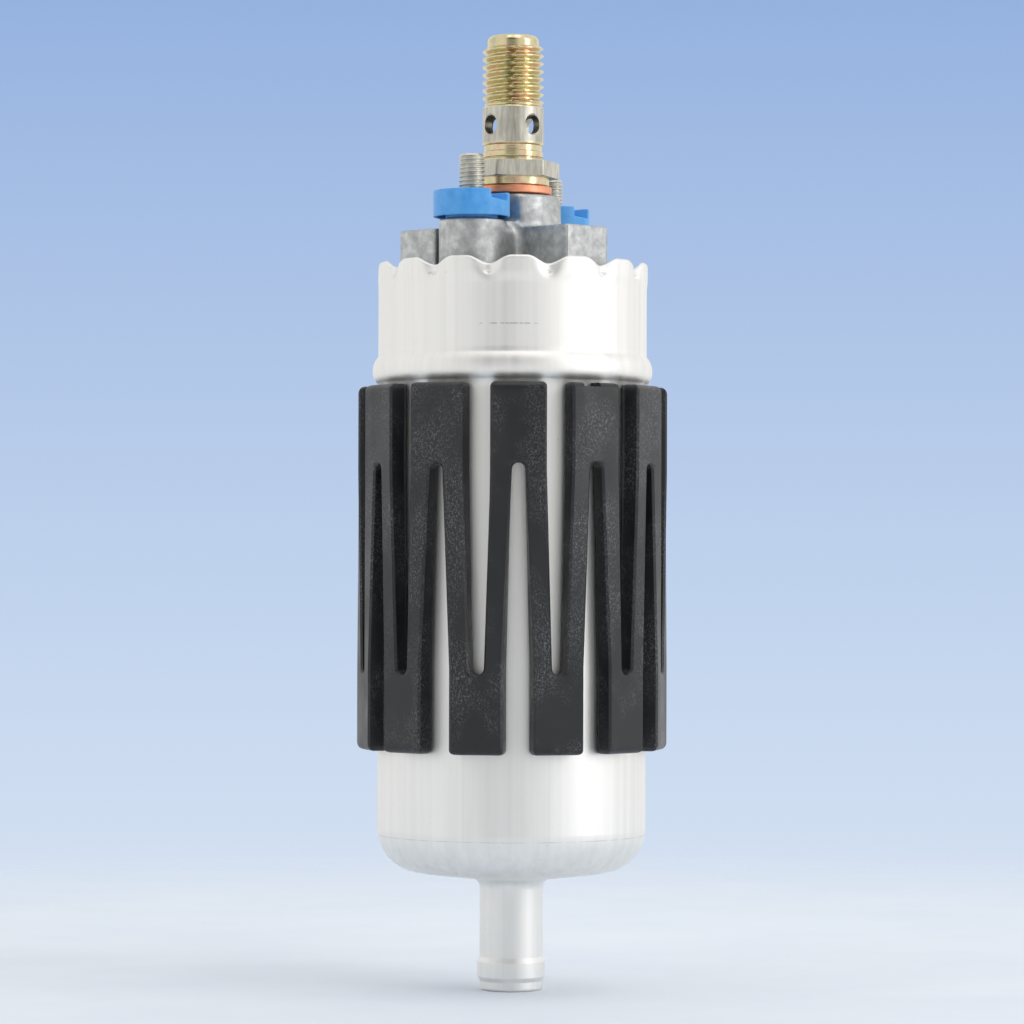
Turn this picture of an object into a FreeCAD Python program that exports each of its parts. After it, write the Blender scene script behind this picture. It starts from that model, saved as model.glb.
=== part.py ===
import FreeCAD, Part
import math
import os

# In-line electric fuel pump. An internal-gear pump stage and a permanent-magnet motor stand in one
# drawn aluminium can, closed by a crimped die-cast cover with the outlet valve and two terminals.
# Millimetres. +Z runs along the pump's axis to the outlet, +X through the positive terminal, and
# the origin lies on the axis at half the sleeve's height.

Vector = FreeCAD.Vector
origin = Vector(0, 0, 0)
axis_z = Vector(0, 0, 1)

# Clearances
can_gap = 0.1  # a part that stands in the can, to the can's wall, radial
fit_gap = 0.05  # two parts that are assembled into each other, each side
running_gap = 0.05  # a part that turns or slides in another, each side
gear_gap = 0.08  # between the two gears' flanks
seat_gap = 0.1  # a moving valve part to its seat
skin = 0.02  # how far cutters reach past a face
over = 1.0  # how far long cutters reach past the part

# Isolating sleeve
sleeve_height = 70.0
sleeve_wall = 3.7  # can to the middle of a tile's flat face
sleeve_root = 1.5  # how far a tile's plate reaches under the can's skin before it is bored
tile_count = 12
tile_gap = 5.3  # between two tiles of a row
tile_turn = 6.2  # degrees, first upper tile
tile_corner = 1.0
tile_bevel = 0.6
slot_width = 2.6
upper_tile_height = 15.2
lower_tile_height = 15.7
notch_width = 3.3
notch_depth = 0.7
notched_tile = 2

# Can
can_radius = 26.0
can_wall = 1.2
can_corner = 10.0
floor_slope = 7.0  # degrees
side_below_sleeve = 13.95
neck_radius = 6.1
neck_wall = 1.0
neck_fillet = 1.3
neck_length = 21.4
neck_bead_radius = 6.55
neck_bead_length = 3.0
neck_bead_offset = 2.6  # neck's end to the bead
neck_bead_slope = 0.8
bead_offset = 3.0  # sleeve's top to the middle of the can's bead
bead_height = 1.1
bead_half = 2.1
upper_can_length = 20.9  # middle of the bead to the top of a crimp lobe

# Crimped rim
rim_flare = 0.2
rim_length = 4.4
lobe_count = 14
lobe_turn = 10.5  # degrees, first lobe
lobe_dip = 1.4  # lobe's top to the valley
lip_height = 2.9
lip_inset = 2.6  # can's skin to the folded lip's inner edge
lobe_pocket_radius = 4.2
lobe_wall = 0.8  # can's skin to the hollow behind a lobe
scoop_radius = 3.2
scoop_run = 2.3  # how far a scoop leads inwards
scoop_rise = 4.0

# Pump stage
inlet_rim = 3.0  # inlet plate's top above the middle of the can's corner
inlet_roof = 4.0
chamber_share = 0.405  # inlet chamber's radius, of the stack's radius
strainer_lap = 1.3  # strainer's flange beyond the chamber
strainer_sheet = 0.5
strainer_radius = 4.7
strainer_height = 5.2
window_count = 6
window_width = 2.8
window_margin = 1.1
shaft_pocket = 2.5
pocket_wall = 2.0
gear_width = 8.0
outlet_plate_thickness = 8.0
bush_boss_height = 2.2
bush_boss_wall = 3.0
inner_teeth = 6
ring_wall = 1.65  # least wall between the outer gear and the relief valve's bore
lobe_circle_share = 0.7317  # of the radius that the gears may take
lobe_share = 0.26667  # a lobe's radius, of the lobe circle
offset_share = 0.09167  # the gears' offset, of the lobe circle
port_share = 0.6417  # a port's inner radius, of the lobe circle
port_width_share = 0.2833
port_span = 136.0  # degrees
screw_count = 3
screw_place = 0.822  # the screws' circle, of the stack's radius
screw_radius = 1.5
screw_head_radius = 2.6
screw_head_height = 2.4
screw_slot_width = 1.0
screw_slot_depth = 1.0
screw_grip = 4.5  # inlet plate's thickness under the screw's head
screw_bite = 5.0
screw_turn = 60.0  # degrees, first screw
relief_place = 0.826  # the relief valve's circle, of the stack's radius
relief_turn = 0.0  # degrees
relief_ball_radius = 2.0
relief_bore = 2.3
relief_port = 1.4
relief_spring_length = 5.4
relief_wire = 0.48
ball_seat_share = 0.6  # ball's middle to its spring, of its radius
relief_plug_height = 2.0
drain_radius = 0.8
drain_height = 3.0

# Armature
shaft_share = 0.258  # shaft's radius, of the core's radius
journal_share = 0.75  # bearings' radius, of the shaft's radius
flat_share = 0.8  # coupling's flats, of the bearings' radius
coupling_wall = 0.2  # coupling's rim beyond its lugs
coupling_height = 3.3
dog_reach = 2.0
dog_width = 3.0
dog_place = 0.656  # the lugs' middle, of the inner gear's root radius
dog_share = 0.262  # a lug's length, of the inner gear's root radius
bush_wall = 2.0
air_gap = 0.5
slot_count = 10
core_slot_share = 0.1415  # a slot's radius, of the core's radius
core_slot_mouth = 1.8
core_slot_place = 0.73  # the slots' circle, of the core's radius
core_end_inset = 9.0
winding_height = 5.5  # of the winding beyond the core's end
winding_inset = 1.75  # core's rim to the winding's ends
winding_lap = 1.6  # shaft to the winding's ends
shoulder_share = 0.45  # height of the winding's round shoulder
crown_share = 0.93  # the shoulder's radius, of the winding's rim
commutator_share = 0.5466  # its radius, of the core's radius
commutator_length = 12.0
riser_step = 1.5
riser_height = 2.0
commutator_slot = 0.6
commutator_slot_depth = 1.0
washer_thickness = 0.8
washer_lap = 0.8  # thrust washer beyond the bush

# Magnets and flux ring
magnet_count = 2
flux_share = 0.1  # flux ring's wall, of the stack's radius
magnet_share = 0.25  # magnets' thickness, of the stack's radius
magnet_span = 130.0  # degrees
magnet_inset = 5.0
clip_sheet = 0.8

# Brush gear
holder_height = 14.3
holder_floor = 2.5
holder_wall = 1.5
holder_margin = 1.5  # riser to the holder's bore
brush_length = 8.0
brush_width = 5.0
brush_height = 6.0
box_wall = 1.2
choke_radius = 3.2
choke_core_radius = 1.6
choke_turns = 7
choke_wire = 0.9
choke_pin = 0.6
choke_margin = 1.2  # choke to the holder's wall
choke_place = 40.7  # degrees, from its terminal's side
seal_section = 1.65

# End cover
flange_thickness = 5.0
skirt_wall = 2.4
hub_wall = 1.6
hub_length = 9.0
vent_count = 3
vent_radius = 1.5
vent_margin = 0.4  # a vent hole to the flange and to the bush
outlet_boss_height = 16.35
outlet_boss_radius = 9.2
outlet_boss_foot = 9.7
passage_radius = 3.0
terminal_offset = 14.25
terminal_boss_radius = 6.25
terminal_boss_height = 10.55
stem_half_width = 5.6
stem_reach = 19.9
bar_half_length = 15.1
bar_near = 5.7
bar_far = 15.3
block_height = 9.25
block_corner = 0.8
web_half_width = 5.7
web_slope = 1.8  # width and height of its slanted edges
arm_turn = -11.5  # degrees, from the terminals' line to the cast arms

# Terminals: positive and negative
positive_stud_radius = 2.5
negative_stud_radius = 2.0
stud_neck_step = 0.3
positive_stud_rise = 7.2
negative_stud_rise = 5.6
stud_chamfer = 0.5
stud_head_radius = 4.4
stud_head_height = 2.0
rivet_radius = 1.5
rivet_length = 3.2
rivet_margin = 0.6  # end of a rivet below its lead
positive_cap_radius = 7.3
negative_cap_radius = 7.25
positive_cap_height = 5.6
negative_cap_height = 4.35
cap_cut = 3.7  # stud's axis to the cap's step
cap_turn = 123.5  # degrees, the way the step faces
positive_step = 2.5
negative_step = 1.7
positive_tab = 1.4
negative_tab = 0.8
tab_width = 4.4
tab_rise = 0.5  # its outer end above its root
step_fall = 0.4  # the step's slope to the rim
cap_sleeve_wall = 1.3
cap_sleeve_length = 8.5
terminal_seal_height = 1.6
lead_thickness = 0.8
lead_half_width = 2.4

# Outlet washer and check valve
washer_outer = 7.5
washer_height = 1.6
collar_radius = 7.05
collar_height = 1.4
hex_flats = 16.0
hex_height = 3.5
hex_turn = 13.6  # degrees, one corner
hex_chamfer_place = 0.35  # from a flat towards a corner
hex_chamfer_slope = 30.0  # degrees
ridge_radius = 5.82
ridge_height = 1.8
groove_radius = 5.62
groove_height = 1.9
thread_radius = 5.95
plain_length = 6.9
relief_height = 0.6
thread_relief = 5.2
thread_length = 10.9
dog_radius = 5.02
dog_point = 2.4
dog_chamfer = 0.6
cross_count = 4
cross_radius = 1.75
cross_height = 3.6  # above the plain part's foot
cross_turn = -15.7  # degrees
valve_bore = 4.3
valve_bore_margin = 0.6  # plain part's top down to the bore's end
tail_length = 12.0
seat_length = 4.0
seat_bore = 2.4
poppet_radius = 3.5
poppet_rim = 1.2
stem_radius = 1.3
stem_length = 9.0
spring_wire = 0.6
valve_spring_turns = 5
small_spring_turns = 3

# Heights that follow from the sizes above
sleeve_top = sleeve_height / 2
sleeve_face = can_radius + sleeve_wall
tile_width = 2 * sleeve_face * math.tan(math.pi / tile_count) - tile_gap
corner_middle = -sleeve_top - side_below_sleeve
slope = math.radians(floor_slope)
can_bore = can_radius - can_wall
stack_radius = can_bore - can_gap
bead_radius = can_radius + bead_height
lip_radius = can_radius - lip_inset
chamber_radius = stack_radius * chamber_share
strainer_flange = chamber_radius + strainer_lap
screw_circle = stack_radius * screw_place
relief_circle = stack_radius * relief_place
gear_room = relief_circle - relief_bore - ring_wall - running_gap
lobe_circle = gear_room * lobe_circle_share
lobe_radius = lobe_circle * lobe_share
eccentricity = lobe_circle * offset_share
outer_gear_radius = gear_room - eccentricity
port_inner = lobe_circle * port_share
port_width = lobe_circle * port_width_share
gear_root = lobe_circle - lobe_radius - gear_gap - eccentricity
dog_middle = gear_root * dog_place
dog_length = gear_root * dog_share
coupling_radius = dog_middle + dog_length / 2 + coupling_wall
bead_middle = sleeve_top + bead_offset
rim_top = bead_middle + upper_can_length
lip_bottom = rim_top - lip_height
gear_floor = corner_middle + inlet_rim
gear_roof = gear_floor + gear_width
outlet_plate_top = gear_roof + outlet_plate_thickness
bush_boss_top = outlet_plate_top + bush_boss_height
coupling_top = gear_roof + coupling_height
holder_top = bead_middle - seal_section - fit_gap
holder_bottom = holder_top - holder_height
plate_top = holder_bottom + holder_floor
cover_skirt_end = bead_middle + seal_section + fit_gap
flange_top = lip_bottom - fit_gap
flange_bottom = flange_top - flange_thickness
hub_bottom = flange_bottom - hub_length
vent_middle = flange_bottom - vent_radius - vent_margin
bush_step = vent_middle - vent_radius - vent_margin
boss_top = flange_top + outlet_boss_height
terminal_boss_top = flange_top + terminal_boss_height
block_top = flange_top + block_height
valve_foot = boss_top + washer_height
flux_bore = stack_radius * (1 - flux_share)
magnet_outer = flux_bore - fit_gap
magnet_inner = magnet_outer - stack_radius * magnet_share
core_radius = magnet_inner - air_gap
shaft_radius = core_radius * shaft_share
journal_radius = shaft_radius * journal_share
journal_flat = journal_radius * flat_share
bush_radius = journal_radius + bush_wall
bush_boss_radius = bush_radius + bush_boss_wall
hub_radius = bush_radius + hub_wall
washer_radius = bush_radius + washer_lap
winding_bore = shaft_radius + winding_lap
core_slot_radius = core_radius * core_slot_share
slot_circle = core_radius * core_slot_place
commutator_radius = core_radius * commutator_share
riser_radius = commutator_radius + riser_step
holder_bore = riser_radius + holder_margin
brush_start = commutator_radius + seat_gap
brush_spring_length = stack_radius - 2 * holder_wall - brush_start - brush_length - 2 * fit_gap
box_end = stack_radius - 2 * holder_wall
core_bottom = outlet_plate_top + core_end_inset
core_top = holder_bottom - winding_height - air_gap
commutator_bottom = holder_bottom + riser_height
commutator_top = commutator_bottom + commutator_length
washer_top = hub_bottom - running_gap
brush_middle = commutator_bottom + riser_height + (commutator_length - riser_height) / 2
choke_bottom = plate_top + fit_gap
head_bottom = flange_bottom - terminal_seal_height - stud_head_height
lead_bottom = head_bottom - rivet_length + rivet_margin
choke_length = lead_bottom - choke_bottom
choke_circle = stack_radius - holder_wall - choke_margin - choke_radius
choke_x = choke_circle * math.cos(math.radians(choke_place))
choke_y = choke_circle * math.sin(math.radians(choke_place))
boss_side = terminal_offset - positive_cap_radius - can_gap
hex_bottom = valve_foot + collar_height
ridge_bottom = hex_bottom + hex_height
groove_bottom = ridge_bottom + ridge_height
plain_bottom = groove_bottom + groove_height
plain_top = plain_bottom + plain_length
thread_bottom = plain_top + relief_height
thread_top = thread_bottom + thread_length
tail_bottom = valve_foot - tail_length
valve_bore_top = plain_top - valve_bore_margin
seat_top = tail_bottom + seat_length
plain_middle = plain_bottom + cross_height

arc_middle = 1 - math.sqrt(0.5)  # how far a quarter arc's middle stays inside its corner


def turned(outline):
    """Solid turned about Z from (r, z) corners. Four numbers give an arc's middle and its end."""
    ends = [Vector(step[-2], 0, step[-1]) for step in outline]
    edges = []
    for index, step in enumerate(outline):
        start = ends[index - 1]
        if len(step) == 4:
            edges.append(Part.Arc(start, Vector(step[0], 0, step[1]), ends[index]).toShape())
        else:
            edges.append(Part.LineSegment(start, ends[index]).toShape())
    return Part.Face(Part.Wire(edges)).revolve(origin, axis_z, 360)


def rod(radius, bottom, top, x=0.0, y=0.0):
    return Part.makeCylinder(radius, top - bottom, Vector(x, y, bottom))


def tube(outer, inner, bottom, top, x=0.0, y=0.0):
    return rod(outer, bottom, top, x, y).cut(rod(inner, bottom - skin, top + skin, x, y))


def block(x_low, x_high, y_low, y_high, bottom, top):
    size = (x_high - x_low, y_high - y_low, top - bottom)
    return Part.makeBox(*size, Vector(x_low, y_low, bottom))


def prism(points, bottom, top):
    """Upright prism on a plan of (x, y) corners."""
    corners = [Vector(x, y, bottom) for x, y in points]
    face = Part.Face(Part.makePolygon(corners + corners[:1]))
    return face.extrude(Vector(0, 0, top - bottom))


def spun(shape, degrees):
    copy = shape.copy()
    copy.rotate(origin, axis_z, degrees)
    return copy


def around(shape, count, first=0.0):
    """Copies of a shape, evenly spaced about Z."""
    return [spun(shape, first + 360.0 / count * k) for k in range(count)]


def polar(radius, degrees):
    angle = math.radians(degrees)
    return radius * math.cos(angle), radius * math.sin(angle)


def sector(outer, inner, span, bottom, top):
    """Ring segment of the given span, centred on +X."""
    ring = tube(outer, inner, bottom, top)
    half = span / 2
    reach = 2 * outer / math.cos(math.radians(min(half, 90) / 2))
    steps = [polar(reach, -half + span * k / 4) for k in range(5)]
    return ring.common(prism([(0, 0)] + steps, bottom - skin, top + skin))


def coil(radius, wire, bottom, top, turns):
    """Spring of square wire whose ends lie at bottom and top."""
    half = wire / 2
    pitch = (top - bottom - wire) / turns
    path = Part.makeHelix(pitch, top - bottom - wire, radius)
    corners = [Vector(radius + a * half, 0, b * half) for a, b in ((-1, -1), (1, -1), (1, 1), (-1, 1))]
    section = Part.makePolygon(corners + corners[:1])
    spring = Part.Wire(path.Edges).makePipeShell([section], True, True)
    spring.translate(Vector(0, 0, bottom + half))
    return spring


def save(name, shape):
    shape.exportStep("parts/" + name + ".step")


def floor_arc_end(inset):
    """Point where the can's corner runs into its floor, inset from the outer skin."""
    radius = can_corner - inset
    return (
        can_radius - can_corner + radius * math.sin(slope),
        corner_middle - radius * math.cos(slope),
    )


def floor_height(r, inset):
    """Height of the can's floor at radius r, inset from the outer skin."""
    end_r, end_z = floor_arc_end(inset)
    return end_z - (end_r - r) * math.tan(slope)


def corner_arc(inset):
    """Middle and end of the can's corner, from its side to its floor."""
    radius = can_corner - inset
    angle = (math.pi / 2 + slope) / 2
    middle = (
        can_radius - can_corner + radius * math.sin(angle),
        corner_middle - radius * math.cos(angle),
    )
    return middle + floor_arc_end(inset)


def can():
    """Drawn can with its neck, bead and crimped rim, one piece."""
    neck_bore = neck_radius - neck_wall
    foot_r = neck_radius + neck_fillet
    foot_z = floor_height(foot_r, 0)
    neck_end = floor_height(neck_radius, 0) - neck_length
    bead_low = neck_end + neck_bead_offset
    bead_high = bead_low + neck_bead_length
    inner_floor = floor_height(neck_bore, can_wall)
    bulge = bead_radius - can_radius
    lip = neck_wall / 2
    rounding = lip * arc_middle
    outline = [
        (can_radius + rim_flare, rim_top),
        (can_radius + rim_flare, rim_top - rim_length),
        (can_radius, rim_top - rim_length - bead_half),
        (can_radius, bead_middle + bead_half),
        (bead_radius, bead_middle, can_radius, bead_middle - bead_half),
        (can_radius, corner_middle),
        corner_arc(0),
        (foot_r, foot_z),
        (neck_radius + neck_fillet * arc_middle, foot_z - neck_fillet * arc_middle,
         neck_radius, foot_z - neck_fillet),
        (neck_radius, bead_high + neck_bead_slope),
        (neck_bead_radius, bead_high),
        (neck_bead_radius, bead_low),
        (neck_radius, bead_low - neck_bead_slope),
        (neck_radius, neck_end + lip),
        (neck_radius - rounding, neck_end + rounding, neck_radius - lip, neck_end),
        (neck_bore, neck_end),
        (neck_bore, inner_floor),
        floor_arc_end(can_wall),
        corner_arc_up(),
        (can_bore, bead_middle - bead_half),
        (can_bore + bulge, bead_middle, can_bore, bead_middle + bead_half),
        (can_bore, lip_bottom),
        (lip_radius, lip_bottom),
        (lip_radius, rim_top),
    ]
    shell = turned(outline)
    return shell.cut(rim_cutters())


def corner_arc_up():
    """The can's inner corner, from its floor to its side."""
    middle_r, middle_z, _, _ = corner_arc(can_wall)
    return (middle_r, middle_z, can_bore, corner_middle)


def rim_cutters():
    """What the crimping tool takes from the rim: valleys, scoops and the hollow behind each lobe."""
    pitch = 360.0 / lobe_count
    half_pitch = can_radius * math.sin(math.radians(pitch / 2))
    arch = (half_pitch ** 2 + lobe_dip ** 2) / (2 * lobe_dip)
    reach = can_radius + rim_flare + over
    depth = reach - lip_radius + 2 * over
    start = Vector(lip_radius - depth, 0, rim_top - arch)
    lobe = Part.makeCylinder(arch, depth * 2, start, Vector(1, 0, 0))
    foot = rim_top - lobe_dip - skin
    notch = block(lip_radius - over, reach, -half_pitch, half_pitch, foot, rim_top + over)
    valley = notch.cut([spun(lobe, pitch / 2), spun(lobe, -pitch / 2)])
    run = Vector(-scoop_run, 0, scoop_rise)
    out = Vector(scoop_rise, 0, scoop_run).normalize()
    start = Vector(can_radius + rim_flare, 0, rim_top - rim_length) + out * scoop_radius - run
    scoop = Part.makeCylinder(scoop_radius, run.Length * 3, start, run)
    pocket_middle = can_radius - lobe_wall - lobe_pocket_radius
    pocket = rod(lobe_pocket_radius, lip_bottom - skin, rim_top + over, pocket_middle)
    valleys = around(valley, lobe_count, lobe_turn + pitch / 2)
    scoops = around(scoop, lobe_count, lobe_turn + pitch / 2)
    pockets = around(pocket, lobe_count, lobe_turn)
    return valleys + scoops + pockets


def tile(bottom, top, open_end):
    """Flat plate of the sleeve on +X, with the closed end of its slot at open_end."""
    inner = can_radius - sleeve_root
    plate = block(inner, sleeve_face, -tile_width / 2, tile_width / 2, bottom, top)
    free_end = top if open_end == bottom else bottom
    corners = [
        edge for edge in plate.Edges
        if abs(edge.CenterOfMass.z - free_end) < skin and edge.Length > sleeve_face - inner - skin
        and abs(abs(edge.CenterOfMass.y) - tile_width / 2) < skin
    ]
    plate = plate.makeFillet(tile_corner, corners)
    face_edges = [
        edge for edge in plate.Edges
        if edge.BoundBox.XMin > sleeve_face - skin and abs(edge.CenterOfMass.z - open_end) > skin
    ]
    plate = plate.makeChamfer(tile_bevel, face_edges)
    slot_end = Part.makeCylinder(slot_width / 2, sleeve_face, Vector(1, 0, open_end), Vector(1, 0, 0))
    return plate.cut(slot_end)


def leg_section(low, high, height, degrees):
    """Outline of a leg between two sidewards places on a tile that stands at the given angle."""
    inner = can_radius - sleeve_root
    corners = [
        (inner, low), (sleeve_face - tile_bevel, low), (sleeve_face, low + tile_bevel),
        (sleeve_face, high - tile_bevel), (sleeve_face - tile_bevel, high), (inner, high),
    ]
    points = [Vector(x, y, height) for x, y in corners]
    wire = Part.makePolygon(points + points[:1])
    wire.rotate(origin, axis_z, degrees)
    return wire


def isolating_sleeve():
    """Moulded zigzag of upper and lower tiles joined by slanting legs."""
    half_turn = 180.0 / tile_count
    upper_end = sleeve_top - upper_tile_height - slot_width / 2
    lower_end = -sleeve_top + lower_tile_height + slot_width / 2
    near, far = slot_width / 2, tile_width / 2
    unit = [tile(upper_end, sleeve_top, upper_end)]
    unit.append(spun(tile(-sleeve_top, lower_end, lower_end), half_turn))
    for side in (1, -1):
        upper_low, upper_high = sorted((side * near, side * far))
        lower_low, lower_high = sorted((-side * near, -side * far))
        sections = [
            leg_section(upper_low, upper_high, upper_end, 0),
            leg_section(lower_low, lower_high, lower_end, side * half_turn),
        ]
        unit.append(Part.makeLoft(sections, True, True))
    pieces = []
    for piece in unit:
        pieces += around(piece, tile_count, tile_turn)
    sleeve = pieces[0].fuse(pieces[1:])
    sleeve = sleeve.cut(rod(can_radius + fit_gap, -sleeve_height, sleeve_height))
    half = notch_width / 2
    notch = block(can_radius, sleeve_face + over, -half, half, sleeve_top - notch_depth, sleeve_top + over)
    return sleeve.cut(spun(notch, tile_turn + 360.0 / tile_count * notched_tile))


def cast_block(x_low, x_high, y_low, y_high, bottom, top):
    """Block of the cover with rounded upright edges and a soft top edge."""
    cast = block(x_low, x_high, y_low, y_high, bottom, top)
    upright = [edge for edge in cast.Edges if edge.BoundBox.ZLength > top - bottom - skin]
    cast = cast.makeFillet(block_corner, upright)
    rim = [edge for edge in cast.Edges if edge.BoundBox.ZMin > top - skin]
    return cast.makeChamfer(block_corner / 2, rim)


def stud_radii(side):
    return positive_stud_radius if side > 0 else negative_stud_radius


def outlet_boss(foot):
    """Tapered boss for the outlet valve, flat towards each cap above the terminal bosses."""
    boss = Part.makeCone(outlet_boss_foot, outlet_boss_radius, boss_top - foot, Vector(0, 0, foot))
    wide = outlet_boss_foot + over
    sides = [block(x, x + wide, -wide, wide, terminal_boss_top - skin, boss_top + over)
             for x in (boss_side, -boss_side - wide)]
    return boss.cut(sides)


def end_cover():
    """Die-cast cover: flange, skirt, bearing hub, outlet boss and two terminal bosses."""
    skirt_bore = stack_radius - skirt_wall
    bush_bore = bush_radius + fit_gap
    body = turned([
        (stack_radius - block_corner, flange_top), (stack_radius, flange_top - block_corner),
        (stack_radius, cover_skirt_end), (skirt_bore, cover_skirt_end), (skirt_bore, flange_bottom),
        (hub_radius, flange_bottom), (hub_radius, hub_bottom), (0, hub_bottom), (0, flange_top),
    ])
    foot = flange_top - skin
    parts = [outlet_boss(foot)]
    stem = cast_block(-stem_half_width, stem_half_width, 0, stem_reach, foot, block_top)
    bar = cast_block(-bar_half_length, bar_half_length, -bar_far, -bar_near, foot, block_top)
    parts += [spun(stem, arm_turn), spun(bar, arm_turn)]
    web_plan = [
        (-web_half_width, foot), (web_half_width, foot), (web_half_width, terminal_boss_top - web_slope),
        (web_half_width - web_slope, terminal_boss_top), (web_slope - web_half_width, terminal_boss_top),
        (-web_half_width, terminal_boss_top - web_slope),
    ]
    corners = [Vector(-terminal_offset, y, z) for y, z in web_plan]
    web = Part.Face(Part.makePolygon(corners + corners[:1])).extrude(Vector(2 * terminal_offset, 0, 0))
    parts.append(web)
    for side in (1, -1):
        parts.append(rod(terminal_boss_radius, foot, terminal_boss_top, side * terminal_offset))
    body = body.fuse(parts)
    cutters = [
        rod(thread_radius + fit_gap, tail_bottom - fit_gap, boss_top + over),
        rod(passage_radius, bush_step, tail_bottom),
        rod(bush_bore, hub_bottom - over, bush_step),
    ]
    vent = Part.makeCylinder(vent_radius, hub_radius + over, Vector(0, 0, vent_middle), Vector(1, 0, 0))
    cutters += around(vent, vent_count, 180.0 / vent_count)
    for side in (1, -1):
        bore = stud_radii(side) + fit_gap + cap_sleeve_wall + fit_gap
        cutters.append(rod(bore, flange_bottom - over, terminal_boss_top + over, side * terminal_offset))
    return body.cut(cutters)


def side_prism(profile, half_width):
    """Prism on a side view of (x, z) corners, as wide to both sides of the XZ plane."""
    corners = [Vector(x, -half_width, z) for x, z in profile]
    face = Part.Face(Part.makePolygon(corners + corners[:1]))
    return face.extrude(Vector(0, 2 * half_width, 0))


def insulator(side, cap_radius, cap_height, step_height, tab_height):
    """Moulded cap with a sleeve round the stud, a sloping step and a tab that flares outwards."""
    bore = stud_radii(side) + fit_gap
    cap_top = terminal_boss_top + cap_height
    floor = cap_top - step_height
    rim_floor = floor - step_fall
    sleeve_end = terminal_boss_top - cap_sleeve_length
    cap = rod(cap_radius, terminal_boss_top, cap_top)
    beyond = cap_radius + over
    step = [(cap_cut, cap_top + over), (cap_cut, floor), (beyond, rim_floor), (beyond, cap_top + over)]
    tab = [
        (cap_cut - skin, terminal_boss_top + over), (cap_cut - skin, floor + tab_height - tab_rise),
        (beyond, floor + tab_height), (beyond, terminal_boss_top + over),
    ]
    fin = side_prism(tab, tab_width / 2).common(cap)
    cap = spun(cap.cut(side_prism(step, cap_radius)).fuse(fin), cap_turn)
    cap = cap.fuse(rod(bore + cap_sleeve_wall, sleeve_end, terminal_boss_top + skin))
    cap = cap.cut(rod(bore, sleeve_end - over, cap_top + over))
    cap.translate(Vector(side * terminal_offset, 0, 0))
    return cap


def terminal_stud(side, cap_height, rise):
    """Stud with a round head under the cover and a rivet end for its lead."""
    radius = stud_radii(side)
    shank = radius - stud_neck_step
    cap_top = terminal_boss_top + cap_height
    top = cap_top + rise
    head_top = head_bottom + stud_head_height
    stud = turned([
        (0, top), (radius - stud_chamfer, top), (radius, top - stud_chamfer),
        (radius, cap_top + fit_gap * 2),
        (shank, cap_top - stud_neck_step), (shank, head_top), (stud_head_radius, head_top),
        (stud_head_radius, head_bottom), (rivet_radius, head_bottom),
        (rivet_radius, head_bottom - rivet_length), (0, head_bottom - rivet_length),
    ])
    stud.translate(Vector(side * terminal_offset, 0, 0))
    return stud


def terminal_seal(side):
    """Ring between the stud's head and the cover."""
    inner = stud_radii(side) - stud_neck_step + fit_gap
    ring = tube(stud_head_radius, inner, head_bottom + stud_head_height + fit_gap, flange_bottom - fit_gap)
    ring.translate(Vector(side * terminal_offset, 0, 0))
    return ring


def lead(side):
    """Flat strip from a stud's rivet to the pin of its choke."""
    top = lead_bottom + lead_thickness
    across, along = choke_x - terminal_offset, choke_y
    length = math.hypot(across, along)
    strip = block(0, length, -lead_half_width, lead_half_width, lead_bottom, top)
    ends = [rod(lead_half_width, lead_bottom, top, x) for x in (0, length)]
    holes = [
        rod(rivet_radius + fit_gap, lead_bottom - over, top + over),
        rod(choke_pin + fit_gap, lead_bottom - over, top + over, length),
    ]
    strip = spun(strip.fuse(ends).cut(holes), math.degrees(math.atan2(along, across)))
    strip.translate(Vector(terminal_offset, 0, 0))
    return spun(strip, 0 if side > 0 else 180)


def choke(side):
    """Ferrite rod wound with one layer of thick wire, with a pin at its top."""
    start = choke_bottom + choke_wire
    outline = [(0, choke_bottom), (choke_core_radius, choke_bottom), (choke_core_radius, start)]
    pitch = (choke_length - fit_gap - 2 * choke_wire) / choke_turns
    for k in range(choke_turns):
        low = start + pitch * k
        outline.append((choke_radius, low + pitch / 2, choke_core_radius, low + pitch))
    body_top = choke_bottom + choke_length - fit_gap
    pin_top = lead_bottom + lead_thickness + choke_pin
    outline += [(choke_core_radius, body_top), (choke_pin, body_top), (choke_pin, pin_top), (0, pin_top)]
    body = turned(outline)
    body.translate(Vector(side * choke_x, side * choke_y, 0))
    return body


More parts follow.
